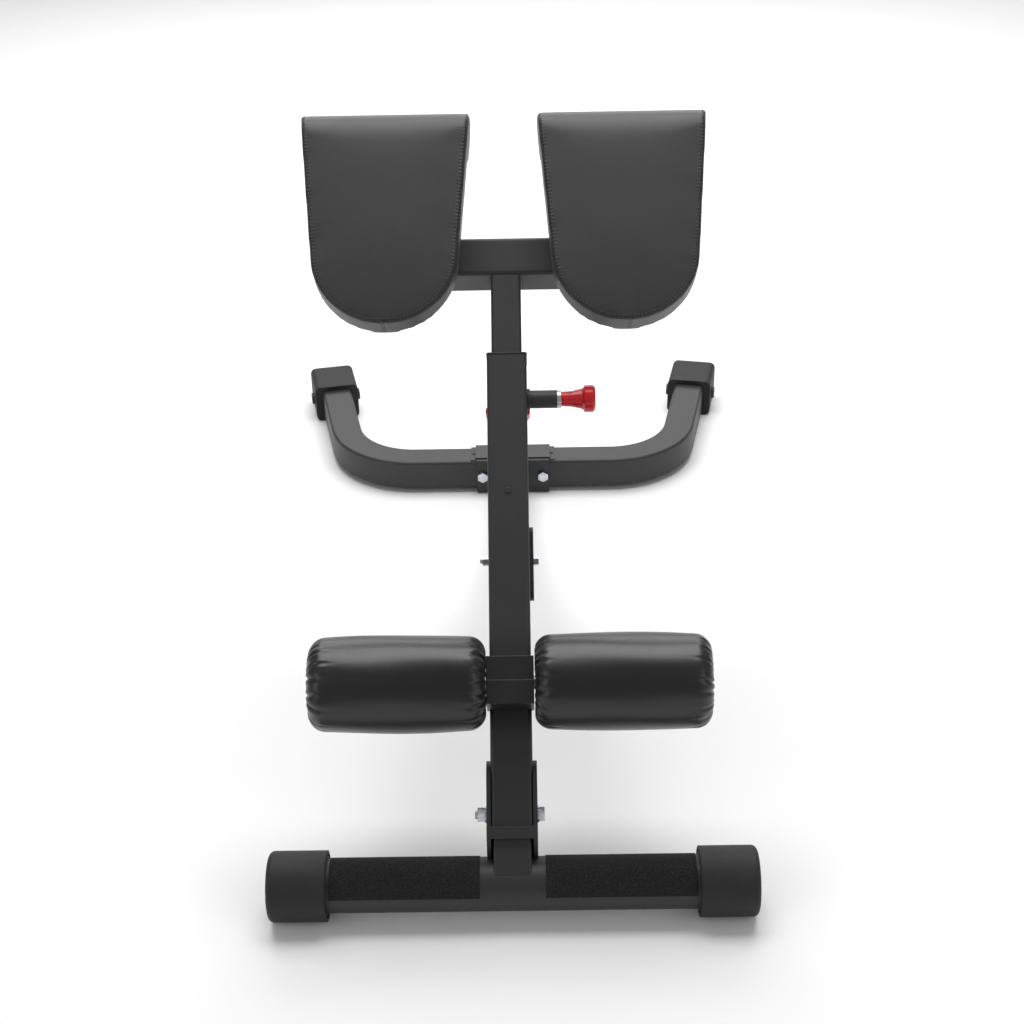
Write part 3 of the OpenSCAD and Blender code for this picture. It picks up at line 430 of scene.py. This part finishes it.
def lathe(profile, origin, axis, sides, wobble):
    """Rings of points turned about an axis. The profile is (distance along, radius).

    wobble gives each point its own radius and distance along.
    """
    axis = Vector(axis).normalized()
    across = axis.orthogonal().normalized()
    other = axis.cross(across)
    points, faces = [], []
    for along, radius in profile:
        for step in range(sides):
            angle = 2 * math.pi * step / sides
            r, a = wobble(angle, along, radius)
            outward = across * math.cos(angle) + other * math.sin(angle)
            points.append(Vector(origin) + axis * a + outward * r)
    for ring in range(len(profile) - 1):
        for step in range(sides):
            a, b = ring * sides + step, ring * sides + (step + 1) % sides
            faces.append((a, b, b + sides, a + sides))
    return points, faces


def node_points(node):
    return np.array([v.co for v in NODES[node].data.vertices], float)


def slope_coordinates(points, origin):
    """World points as (across, up the slope, out of the front face)."""
    offset = np.asarray(points, float) - np.array(origin)
    return np.stack([offset[:, 0], offset @ np.array(SLOPE), offset @ np.array(NORMAL)], 1)


def slope_point(x, t, n, origin):
    return Vector(origin) + Vector((x, 0, 0)) + SLOPE * t + NORMAL * n


# ---------------------------------------------------------------- thigh pads

FLAT_HEIGHT = 0.15          # the lower part of a pad, whose back lies flat on the board
FULL_WIDTH_HEIGHT = 0.09    # where the rounded bottom has reached the pad's full width
BOTTOM_TURN = 84            # degrees of the rounded bottom, taken every BOTTOM_STEP
BOTTOM_STEP = 2
SIDE_STEPS = 30
ROLL_STEPS = 23             # points over the rolled top, ROLL_STEP degrees apart
ROLL_STEP = 6.5
FACE_SLACK = 1e-4           # a point this close to the front counts as on it
SEAM_SPACING = 0.0012       # between the points that distances from a seam are taken to
SEAM_HOLD = 0.0045          # the cover stays put this near the seam
BOARD_HOLD = 0.002          # and this near the board
COVER_FRAMES = 20
TUCK_LEAN = 0.0015          # how far the closing seam under the pad wanders sideways
TUCK_PAST = 0.01            # how far it runs on behind the board's face
TUCK_SLACK = 0.001
FAR_FROM_SEAM = 0.05
STITCH_SPACING = 0.0006
STITCH_RADIUS = 0.00052
STITCH_SHARE = 0.7          # length of a stitch as a share of the pitch
STITCH_LIFTS = (-0.0003, 0.00034, 0.00034, -0.0003)
STITCH_SHARP = 80
TAPERED_END = 0.55


class PadShape:
    """The cushion's own frame and seam lines, read from its CAD solid."""

    def __init__(self, node):
        low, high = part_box(node)
        self.centre = Vector(((low.x + high.x) / 2, 0, 0))
        local = slope_coordinates(node_points(node), self.centre)
        self.bottom = local[:, 1].min()
        self.top = local[:, 1].max()
        self.front = local[:, 2].max()
        self.back = local[:, 2].min()
        flat = local[(local[:, 1] < self.bottom + FLAT_HEIGHT)]
        self.board_face = flat[:, 2].min()
        self.roll = (self.front - self.back) / 2
        self.roll_t = self.top - self.roll
        self.roll_n = self.front - self.roll
        self.widths = self._widths(local)

    def _widths(self, local):
        """Half width of the outline against height."""
        rows = {}
        for x, t, n in local:
            if n > self.front - FACE_SLACK:
                key = round(t, 5)
                rows[key] = max(rows.get(key, 0.0), abs(x))
        rows = sorted(rows.items())
        heights = np.array([r[0] for r in rows])
        halves = np.array([r[1] for r in rows])
        return heights, halves

    def half(self, t):
        """Half width at a height, carried on in a straight line above the flat face."""
        heights, halves = self.widths
        if t <= heights[-1]:
            return float(np.interp(t, heights, halves))
        slope = (halves[-1] - halves[-2]) / max(heights[-1] - heights[-2], 1e-6)
        return float(halves[-1] + slope * (t - heights[-1]))

    def outline(self, inset=0.0):
        """Right half of the seam, from the middle of the bottom up over the roll, as (x, t, n)."""
        path = []
        heights, halves = self.widths
        radius = float(halves[np.argmin(np.abs(heights - (self.bottom + FULL_WIDTH_HEIGHT)))])
        reach = radius - inset
        for step in range(0, BOTTOM_TURN, BOTTOM_STEP):
            angle = math.radians(step)
            path.append((reach * math.sin(angle), self.bottom + radius - reach * math.cos(angle), self.front))
        start = path[-1][1]
        for step in range(1, SIDE_STEPS + 1):
            t = start + (self.roll_t - start) * step / SIDE_STEPS
            path.append((self.half(t) - inset, t, self.front))
        low, widening = self.half(self.roll_t), self.half(self.top) - self.half(self.roll_t)
        for step in range(1, ROLL_STEPS + 1):
            angle = math.radians(step * ROLL_STEP)
            t = self.roll_t + self.roll * math.sin(angle)
            n = self.roll_n + self.roll * math.cos(angle)
            path.append((low + widening * math.sin(angle) - inset, t, n))
        return path

    def world(self, x, t, n):
        return slope_point(x, t, n, self.centre)

    def seam(self, inset=0.0, spacing=SEAM_SPACING):
        """The whole seam as evenly spaced world points, from the left end of the roll to the right."""
        half = self.outline(inset)
        full = [(-x, t, n) for x, t, n in half[::-1]] + half[1:]
        return resample([self.world(*p) for p in full], spacing)


def resample(points, spacing):
    """The same line as evenly spaced points, close to the given spacing."""
    points = [np.array(p) for p in points]
    lengths = np.cumsum([0.0] + [float(np.linalg.norm(b - a)) for a, b in zip(points, points[1:])])
    count = max(2, int(lengths[-1] / spacing))
    wanted = np.linspace(0, lengths[-1], count)
    table = np.array(points)
    return np.stack([np.interp(wanted, lengths, table[:, k]) for k in range(3)], 1)


def nearest(points, line):
    """Distance from each point to a dense line of points, and the run along it."""
    tree = KDTree(len(line))
    for index, point in enumerate(line):
        tree.insert(point, index)
    tree.balance()
    step = float(np.linalg.norm(line[1] - line[0]))
    gap, run = np.zeros(len(points)), np.zeros(len(points))
    for index, point in enumerate(points):
        near, found, distance = tree.find(point)
        a = line[max(found - 1, 0)]
        b = line[min(found + 1, len(line) - 1)]
        along = (b - a) / max(float(np.linalg.norm(b - a)), 1e-9)
        offset = np.array(point) - line[found]
        shift = float(offset @ along)
        gap[index] = float(np.linalg.norm(offset - along * shift))
        run[index] = found * step + shift
    return gap, run


def swell(made, shape, settings):
    """Blows the cover up under cloth pressure between its seams, and limits how far it moves.
    """
    points = np.array([v.co for v in made.data.vertices])
    local = slope_coordinates(points, shape.centre)
    gap, _ = nearest(points, shape.seam())
    held = (gap < SEAM_HOLD) | (local[:, 2] < shape.board_face + BOARD_HOLD)
    group = made.vertex_groups.new(name="held")
    group.add([int(i) for i in np.nonzero(held)[0]], 1.0, "REPLACE")
    cloth = made.modifiers.new("cover", "CLOTH")
    cloth.settings.quality = 4
    cloth.settings.mass = 0.3
    cloth.settings.tension_stiffness = 18
    cloth.settings.compression_stiffness = 12
    cloth.settings.shear_stiffness = 8
    cloth.settings.bending_stiffness = 1.5
    cloth.settings.use_pressure = True
    cloth.settings.uniform_pressure_force = 4.0
    cloth.settings.effector_weights.gravity = 0.0
    cloth.settings.vertex_group_mass = "held"
    cloth.settings.pin_stiffness = 1.0
    cloth.collision_settings.use_collision = False
    cloth.collision_settings.use_self_collision = False
    scene = bpy.context.scene
    for frame_number in range(1, COVER_FRAMES + 1):
        scene.frame_set(frame_number)
    swollen = made.evaluated_get(bpy.context.evaluated_depsgraph_get())
    result = np.array([v.co for v in swollen.data.vertices])
    made.modifiers.remove(cloth)
    scene.frame_set(1)
    move = result - points
    length = np.linalg.norm(move, axis=1, keepdims=True)
    limited = move / np.maximum(length, 1e-9) * settings.puff * np.tanh(length / settings.puff)
    made.data.vertices.foreach_set("co", (points + limited).astype(np.float32).ravel())
    made.data.update()


def build_pad(side, settings):
    """One cushion: the CAD solid as an even grid, swollen as cloth and marked with its seams."""
    node = f"pad_cushion_{side}"
    shape = PadShape(node)
    made = bpy.data.objects.new(f"thigh_pad_{side}", NODES[node].data.copy())
    bpy.context.collection.objects.link(made)
    made.data.materials.clear()
    bpy.context.view_layer.objects.active = made
    remesh = made.modifiers.new("grid", "REMESH")
    remesh.mode = "VOXEL"
    remesh.voxel_size = settings.voxel
    apply_modifiers(made)
    soften(made, 2)
    swell(made, shape, settings)
    subdivide = made.modifiers.new("fine", "SUBSURF")
    subdivide.levels = subdivide.render_levels = 1
    apply_modifiers(made)
    mark_seams(made, shape)
    made.data.materials.append(finish_of("pad_vinyl_grain"))
    made.data.shade_smooth()
    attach(made, "post")
    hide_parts(node)
    return made, shape


def apply_modifiers(made):
    bpy.context.view_layer.update()
    graph = bpy.context.evaluated_depsgraph_get()
    data = bpy.data.meshes.new_from_object(made.evaluated_get(graph), depsgraph=graph)
    made.modifiers.clear()
    made.data = data


def soften(made, rounds):
    """Evens the stepped voxel corners."""
    work = bmesh.new()
    work.from_mesh(made.data)
    for _ in range(rounds):
        bmesh.ops.smooth_vert(
            work, verts=work.verts, factor=0.4, use_axis_x=True, use_axis_y=True, use_axis_z=True)
    work.to_mesh(made.data)
    work.free()


def mark_seams(made, shape):
    """Stores each vertex's distance from the nearest seam, and its run along it."""
    points = np.array([v.co for v in made.data.vertices])
    gap, run = nearest(points, shape.seam())
    tuck_front = shape.world(0, shape.bottom, shape.front)
    tuck_back = shape.world(TUCK_LEAN, shape.bottom, shape.board_face - TUCK_PAST)
    gap_tuck, run_tuck = nearest(points, resample([tuck_front, tuck_back], SEAM_SPACING))
    local = slope_coordinates(points, shape.centre)
    gap_tuck[local[:, 2] > shape.front + TUCK_SLACK] = FAR_FROM_SEAM
    closer = gap_tuck < gap
    gap[closer] = gap_tuck[closer]
    run[closer] = run_tuck[closer]
    for name, values in (("seam_gap", gap), ("seam_run", run)):
        layer = made.data.attributes.new(name, "FLOAT", "POINT")
        layer.data.foreach_set("value", values.astype(np.float32))


def stitches(made, shape, side, settings):
    """A row of thread along the face, sunk into the cover."""
    cover = BVHTree.FromObject(made, bpy.context.evaluated_depsgraph_get())
    line = shape.seam(settings.seam_inset, STITCH_SPACING)
    step = float(np.linalg.norm(line[1] - line[0]))
    stride = max(2, int(settings.stitch / step))
    length = max(1, int(settings.stitch * STITCH_SHARE / step))
    vertices, faces = [], []
    for start in range(0, len(line) - length - 1, stride):
        rings = []
        for third, lift in enumerate(STITCH_LIFTS):
            place, normal, _, _ = cover.find_nearest(Vector(line[start + third * length // 3]))
            rings.append((place + normal * lift, normal))
        tube(vertices, faces, rings, STITCH_RADIUS)
    thread = finish_of("pad_thread")
    piece(f"pad_stitching_{side}", vertices, faces, thread, "post", STITCH_SHARP)


def tube(vertices, faces, rings, radius, sides=6):
    """Adds a short closed tube through the given places."""
    base = len(vertices)
    for index, (place, normal) in enumerate(rings):
        ahead = rings[min(index + 1, len(rings) - 1)][0] - rings[max(index - 1, 0)][0]
        across = ahead.cross(normal).normalized()
        up = across.cross(ahead).normalized()
        end = index in (0, len(rings) - 1)
        r = radius * (TAPERED_END if end else 1.0)
        for k in range(sides):
            angle = 2 * math.pi * k / sides
            vertices.append(place + across * math.cos(angle) * r + up * math.sin(angle) * r)
    for ring in range(len(rings) - 1):
        for k in range(sides):
            a = base + ring * sides + k
            b = base + ring * sides + (k + 1) % sides
            faces.append((a, b, b + sides, a + sides))
    faces.append(tuple(base + k for k in range(sides))[::-1])
    last = base + (len(rings) - 1) * sides
    faces.append(tuple(last + k for k in range(sides)))


class BENCH_OT_thigh_pads(bpy.types.Operator):
    """Make the pair of stitched vinyl thigh pads"""
    bl_idname = "bench.thigh_pads"
    bl_label = "Thigh pads"

    def execute(self, context):
        settings = context.scene.bench_pads
        vinyl("pad_vinyl_grain", settings.vinyl, 0.42, seams=True)
        thread_finish("pad_thread", tint(settings.vinyl, 1.5))
        plywood_finish("pad_plywood_grain")
        for side in ("left", "right"):
            made, shape = build_pad(side, settings)
            stitches(made, shape, side, settings)
            assign(f"pad_board_{side}", finish_of("pad_plywood_grain"))
        return {"FINISHED"}


# ---------------------------------------------------------------- ankle rollers

ROLLER_HOLE = 0.0135        # radius of the hole in the vinyl's ends
ROLLER_EDGE = 0.019         # radius of the rounded ends
ROLLER_LIP = 0.007          # width of the dished band round the hole
ROLLER_DISH = ((0.006, 0.0), (0.0022, 0.002), (0.0006, ROLLER_LIP))
ROLLER_END_INSET = 0.0004
ROLLER_END_STEPS = 7
ROLLER_EDGE_STEPS = 12
ROLLER_BODY_STEPS = 30
ROLLER_SIDES = 288
ROLLER_CLEARANCE = 0.0002   # of the cover's mean surface inside the foam's
ROLLER_PROUD = 0.0018       # furthest that a fold stands out of that surface
ROLLER_SHARP = 75
ROLLER_SEEDS = {"left": 41, "right": 77}
PLEAT_STRENGTH = (0.55, 1.25)
PLEAT_WIDTH = (0.035, 0.065)
PLEAT_LEAN = (-0.35, 0.35)
PLEAT_REACH = (0.009, 0.017)


def roller_profile(length, radius, barrel):
    """Section of a roller from its inner hole round to the other hole."""
    hole, edge = ROLLER_HOLE, ROLLER_EDGE
    profile = [(along, hole + rise) for along, rise in ROLLER_DISH]
    for step in range(1, ROLLER_END_STEPS):
        flat = (radius - edge - hole - ROLLER_LIP) * step / ROLLER_END_STEPS
        profile.append((ROLLER_END_INSET, hole + ROLLER_LIP + flat))
    for step in range(ROLLER_EDGE_STEPS + 1):
        angle = math.radians(90 * step / ROLLER_EDGE_STEPS)
        profile.append((edge - edge * math.cos(angle), radius - edge + edge * math.sin(angle)))
    left = list(profile)
    for step in range(1, ROLLER_BODY_STEPS):
        profile.append((edge + (length - 2 * edge) * step / ROLLER_BODY_STEPS, radius))
    profile += [(length - along, r) for along, r in left[::-1]]
    drawn = []
    for along, r in profile:
        t = 2 * along / length - 1
        share = min(1.0, max(0.0, (r - hole) / (radius - hole)))
        drawn.append((along, r - barrel * share * t * t))
    return drawn


def build_roller(side, settings):
    """One roller, its vinyl gathered into pleats at both ends."""
    node = f"roller_foam_{side}"
    low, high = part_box(node)
    length = high.x - low.x
    radius = (high.y - low.y) / 2 - ROLLER_CLEARANCE
    rng = random.Random(ROLLER_SEEDS[side])
    profile = roller_profile(length, radius, settings.barrel)
    ends = []
    for _ in range(2):
        creases = []
        for k in range(settings.pleats):
            angle = 2 * math.pi * (k + rng.uniform(-0.3, 0.3)) / settings.pleats
            shape = [rng.uniform(*span) for span in (PLEAT_STRENGTH, PLEAT_WIDTH, PLEAT_LEAN, PLEAT_REACH)]
            creases.append((angle, *shape))
        ends.append(creases)
    ripple = [rng.uniform(0, 2 * math.pi) for _ in range(4)]

    def wobble(angle, along, r):
        """Draws the cover in along the pleats, and lets the rest settle unevenly."""
        near = min(along, length - along)
        creases = ends[0] if along < length / 2 else ends[1]
        share = (r - ROLLER_HOLE) / (radius - ROLLER_HOLE)
        depth = 0.0
        for centre, strength, width, lean, reach in creases:
            turn = (angle - centre - lean * (1 - share) * 0.8 + math.pi) % (2 * math.pi) - math.pi
            fade = math.exp(-(near / reach) ** 2)
            fold = math.exp(-(turn / (width * (0.65 + 0.35 * share))) ** 2)
            bulge = 0.42 * math.exp(-((abs(turn) - 2.1 * width) / (1.3 * width)) ** 2)
            depth += strength * (fold - bulge) * fade
        depth = max(-0.5, min(1.5, depth))
        settle = 0.0005 * math.sin(3 * angle + ripple[0] + along * 22)
        settle += 0.0003 * math.sin(5 * angle + ripple[1] - along * 40)
        pull = settings.pleat_depth * depth * min(1.0, share * 1.8)
        edge_share = max(0.0, 1.0 - near / ROLLER_EDGE)
        inward = pull * (1.0 - 0.75 * edge_share)
        sunk = pull * edge_share * 0.55
        shifted = along + sunk if along < length / 2 else along - sunk
        return min(r - inward + settle * min(1, share), radius + ROLLER_PROUD), shifted

    origin = Vector((low.x, ROLLER_AXIS.y, ROLLER_AXIS.z))
    points, faces = lathe(profile, origin, (1, 0, 0), ROLLER_SIDES, wobble)
    last = (len(profile) - 1) * ROLLER_SIDES
    for k in range(ROLLER_SIDES):
        following = (k + 1) % ROLLER_SIDES
        faces.append((last + k, last + following, following, k))
    cover = finish_of("roller_vinyl_gloss")
    made = piece(
        f"ankle_roller_{side}", points, faces, cover, f"roller_{side}", ROLLER_SHARP)
    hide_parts(node)


class BENCH_OT_ankle_rollers(bpy.types.Operator):
    """Make the pair of gathered vinyl ankle rollers"""
    bl_idname = "bench.ankle_rollers"
    bl_label = "Ankle rollers"

    def execute(self, context):
        settings = context.scene.bench_rollers
        vinyl("roller_vinyl_gloss", settings.vinyl, 0.25, 760.0)
        for side in ("left", "right"):
            build_roller(side, settings)
        return {"FINISHED"}


# ---------------------------------------------------------------- frame and fittings

PAINTED = (
    "front_foot_tube", "front_socket", "foot_stub", "main_tube", "liner_screw", "pin_barrel", "clamp_boss",
    "pivot_bracket", "pivot_keeper", "post_tube", "crossbar", "rear_leg", "saddle_bracket", "cover_plate",
    "cover_rivets", "rear_bar", "rear_foot_bolts",
)
PLATED = (
    "socket_bolt", "socket_nut", "socket_washers", "pin_ferrule", "pin_spring", "roller_axle", "pivot_bolt",
    "pivot_nut", "pad_bolts", "pad_tee_nuts", "locking_pin", "clamp_screw", "pivot_bush", "saddle_bolts",
    "saddle_nuts",
)
RUBBER = ("front_cap_left", "front_cap_right", "rear_foot_left", "rear_foot_right")
PLASTIC = (
    "main_tube_liner", "roller_block_upper", "roller_block_lower", "axle_caps", "pivot_washers", "post_glide",
    "crossbar_plugs", "roller_sleeve_left", "roller_sleeve_right",
)
RED = ("pull_knob", "clamp_knob")


class BENCH_OT_painted_frame(bpy.types.Operator):
    """Give the steel frame its satin powder coat"""
    bl_idname = "bench.painted_frame"
    bl_label = "Painted frame"

    def execute(self, context):
        settings = context.scene.bench_frame
        paint = powder_coat("black_powder_coat", settings.paint, settings.soften)
        for node in PAINTED:
            assign(node, paint)
        return {"FINISHED"}


def build_pin_spring():
    """The pin's coil, copied into an object of its own on the frame; the real coil shortens against the
    ferrule as the knob is pulled, but this copy keeps its shape.
    """
    made = bpy.data.objects.new("pin_spring_coil", NODES["pin_spring"].data.copy())
    bpy.context.collection.objects.link(made)
    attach(made, "frame")
    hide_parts("pin_spring")
    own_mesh(made)


class BENCH_OT_plated_hardware(bpy.types.Operator):
    """Give the fasteners, axle and pin their zinc plate"""
    bl_idname = "bench.plated_hardware"
    bl_label = "Plated hardware"

    def execute(self, context):
        plate = zinc_plate("bright_zinc", context.scene.bench_frame.zinc)
        for node in PLATED:
            assign(node, plate)
        build_pin_spring()
        return {"FINISHED"}


class BENCH_OT_rubber_and_plastic(bpy.types.Operator):
    """Finish the feet, caps, plugs, roller block and knobs"""
    bl_idname = "bench.rubber_and_plastic"
    bl_label = "Rubber and plastic"

    def execute(self, context):
        settings = context.scene.bench_frame
        rubber = moulded_rubber("moulded_rubber", settings.rubber, settings.soften)
        plastic = moulded_plastic("black_plastic", settings.plastic, settings.soften)
        red = moulded_plastic("red_plastic", settings.red, settings.soften, 0.20)
        for nodes, material in ((RUBBER, rubber), (PLASTIC, plastic), (RED, red)):
            for node in nodes:
                assign(node, material)
        return {"FINISHED"}


class BENCH_OT_grip_tape(bpy.types.Operator):
    """Cover the front foot with grit tape"""
    bl_idname = "bench.grip_tape"
    bl_label = "Grip tape"

    def execute(self, context):
        grit = grit_tape("coarse_grit")
        for side in ("left", "right"):
            assign(f"grip_tape_{side}", grit)
        return {"FINISHED"}


# ---------------------------------------------------------------- stage

CAMERA_PLACE = (0.02358, -2.18857, 1.47667)
CAMERA_PITCH, CAMERA_YAW, CAMERA_ROLL = 31.0, -0.60, -1.16
CAMERA_SENSOR = 36.0
FLOOR_REACH = 7.0           # from the middle to the front edge and to the wall behind
FLOOR_RISE = 6.0            # height of that wall
FLOOR_BEND = 1.6            # radius between the floor and the wall
FLOOR_BEND_STEPS = 12
WORLD_STRENGTH = 0.30
MIDDLE = (0, 0, 0.35)
# Name, place, the point it faces, width, height, the setting that gives its power, and its share.
LIGHTS = (
    ("overhead", (0.0, 0.75, 3.1), (0, 0.2, 0.35), 3.0, 2.2, "key", 1.0),
    ("front_left", (-2.6, -2.4, 1.9), MIDDLE, 1.6, 2.2, "fill", 1.0),
    ("front_right", (2.6, -2.4, 1.9), MIDDLE, 1.6, 2.2, "fill", 1.0),
    ("back", (0.0, 3.4, 2.1), MIDDLE, 4.2, 1.8, "key", 0.62),
)


def camera_turn(pitch, yaw, roll):
    """Rotation of a camera that looks along +Y, tipped down, turned and rolled, in degrees."""
    pitch, yaw, roll = (math.radians(v) for v in (pitch, yaw, roll))
    forward = Vector((math.sin(yaw) * math.cos(pitch), math.cos(yaw) * math.cos(pitch), -math.sin(pitch)))
    right = Vector((math.cos(yaw), -math.sin(yaw), 0))
    up = right.cross(forward)
    level = right * math.cos(roll) + up * math.sin(roll)
    lifted = up * math.cos(roll) - right * math.sin(roll)
    return Matrix((level, lifted, -forward)).transposed()


def area_light(name, place, target, width, height, power):
    data = bpy.data.lights.new(name, "AREA")
    data.shape = "RECTANGLE"
    data.size = width
    data.size_y = height
    data.energy = power
    made = bpy.data.objects.new(name, data)
    made.location = place
    made.rotation_euler = (Vector(target) - Vector(place)).to_track_quat("-Z", "Y").to_euler()
    bpy.context.collection.objects.link(made)


def build_floor(colour):
    """A pale floor that curves up into a wall behind."""
    shade = Shade("studio_floor")
    grain = shade.noise(3.0, 2.0)
    tone = shade.mix(grain.smooth(0.3, 0.7), tint(colour, 0.995), colour)
    shade.set(Base_Color=tone, Roughness=0.9, Specular_IOR_Level=0.1)
    start = FLOOR_REACH - FLOOR_BEND
    rows = [(-FLOOR_REACH, 0.0), (start, 0.0)]
    for step in range(1, FLOOR_BEND_STEPS + 1):
        angle = math.radians(90 * step / FLOOR_BEND_STEPS)
        rows.append((start + FLOOR_BEND * math.sin(angle), FLOOR_BEND - FLOOR_BEND * math.cos(angle)))
    rows.append((FLOOR_REACH, FLOOR_RISE))
    side = FLOOR_REACH * 1.5
    points = [(x, y, z) for y, z in rows for x in (-side, side)]
    faces = [(2 * i, 2 * i + 1, 2 * i + 3, 2 * i + 2) for i in range(len(rows) - 1)]
    data = bpy.data.meshes.new("floor")
    data.from_pydata(points, [], faces)
    data.shade_smooth()
    data.materials.append(shade.material)
    floor = bpy.data.objects.new("floor", data)
    bpy.context.collection.objects.link(floor)


class BENCH_OT_stage(bpy.types.Operator):
    """Set the floor, lights and camera"""
    bl_idname = "bench.stage"
    bl_label = "Stage"

    def execute(self, context):
        settings = context.scene.bench_stage
        build_floor(settings.floor)
        for name, place, target, width, height, source, share in LIGHTS:
            area_light(name, place, target, width, height, getattr(settings, source) * share)
        world = bpy.data.worlds.new("studio")
        world.use_nodes = True
        background = world.node_tree.nodes["Background"]
        background.inputs["Color"].default_value = (1, 1, 1, 1)
        background.inputs["Strength"].default_value = WORLD_STRENGTH
        context.scene.world = world
        lens = bpy.data.cameras.new("camera")
        lens.sensor_width = CAMERA_SENSOR
        lens.lens = settings.lens
        camera = bpy.data.objects.new("camera", lens)
        context.collection.objects.link(camera)
        turn = camera_turn(CAMERA_PITCH, CAMERA_YAW, CAMERA_ROLL)
        camera.matrix_world = Matrix.Translation(CAMERA_PLACE) @ turn.to_4x4()
        context.scene.camera = camera
        context.scene.view_settings.view_transform = "Standard"
        return {"FINISHED"}


class BENCH_PT_panel(bpy.types.Panel):
    """Sizes, colours and a button for each group of pieces"""
    bl_label = "Hyperextension bench"
    bl_space_type = "VIEW_3D"
    bl_region_type = "UI"
    bl_category = "Bench"

    def draw(self, context):
        scene = context.scene
        for group in (scene.bench_frame, scene.bench_pads, scene.bench_rollers, scene.bench_stage):
            box = self.layout.box()
            for name in group.__annotations__:
                box.prop(group, name)
        for operator in OPERATORS:
            self.layout.operator(operator.bl_idname)


SETTINGS = {
    "bench_pads": BenchPadSettings,
    "bench_rollers": BenchRollerSettings,
    "bench_frame": BenchFrameSettings,
    "bench_stage": BenchStageSettings,
}
OPERATORS = (
    BENCH_OT_stage, BENCH_OT_painted_frame, BENCH_OT_plated_hardware, BENCH_OT_rubber_and_plastic,
    BENCH_OT_grip_tape, BENCH_OT_ankle_rollers, BENCH_OT_thigh_pads,
)


def register():
    for group in SETTINGS.values():
        bpy.utils.register_class(group)
    for operator in OPERATORS:
        bpy.utils.register_class(operator)
    bpy.utils.register_class(BENCH_PT_panel)
    for name, group in SETTINGS.items():
        setattr(bpy.types.Scene, name, PointerProperty(type=group))


def unregister():
    for name in SETTINGS:
        delattr(bpy.types.Scene, name)
    bpy.utils.unregister_class(BENCH_PT_panel)
    for operator in reversed(OPERATORS):
        bpy.utils.unregister_class(operator)
    for group in reversed(list(SETTINGS.values())):
        bpy.utils.unregister_class(group)


def main():
    register()
    for operator in OPERATORS:
        category, name = operator.bl_idname.split(".")
        getattr(getattr(bpy.ops, category), name)()


if __name__ == "__main__":
    main()
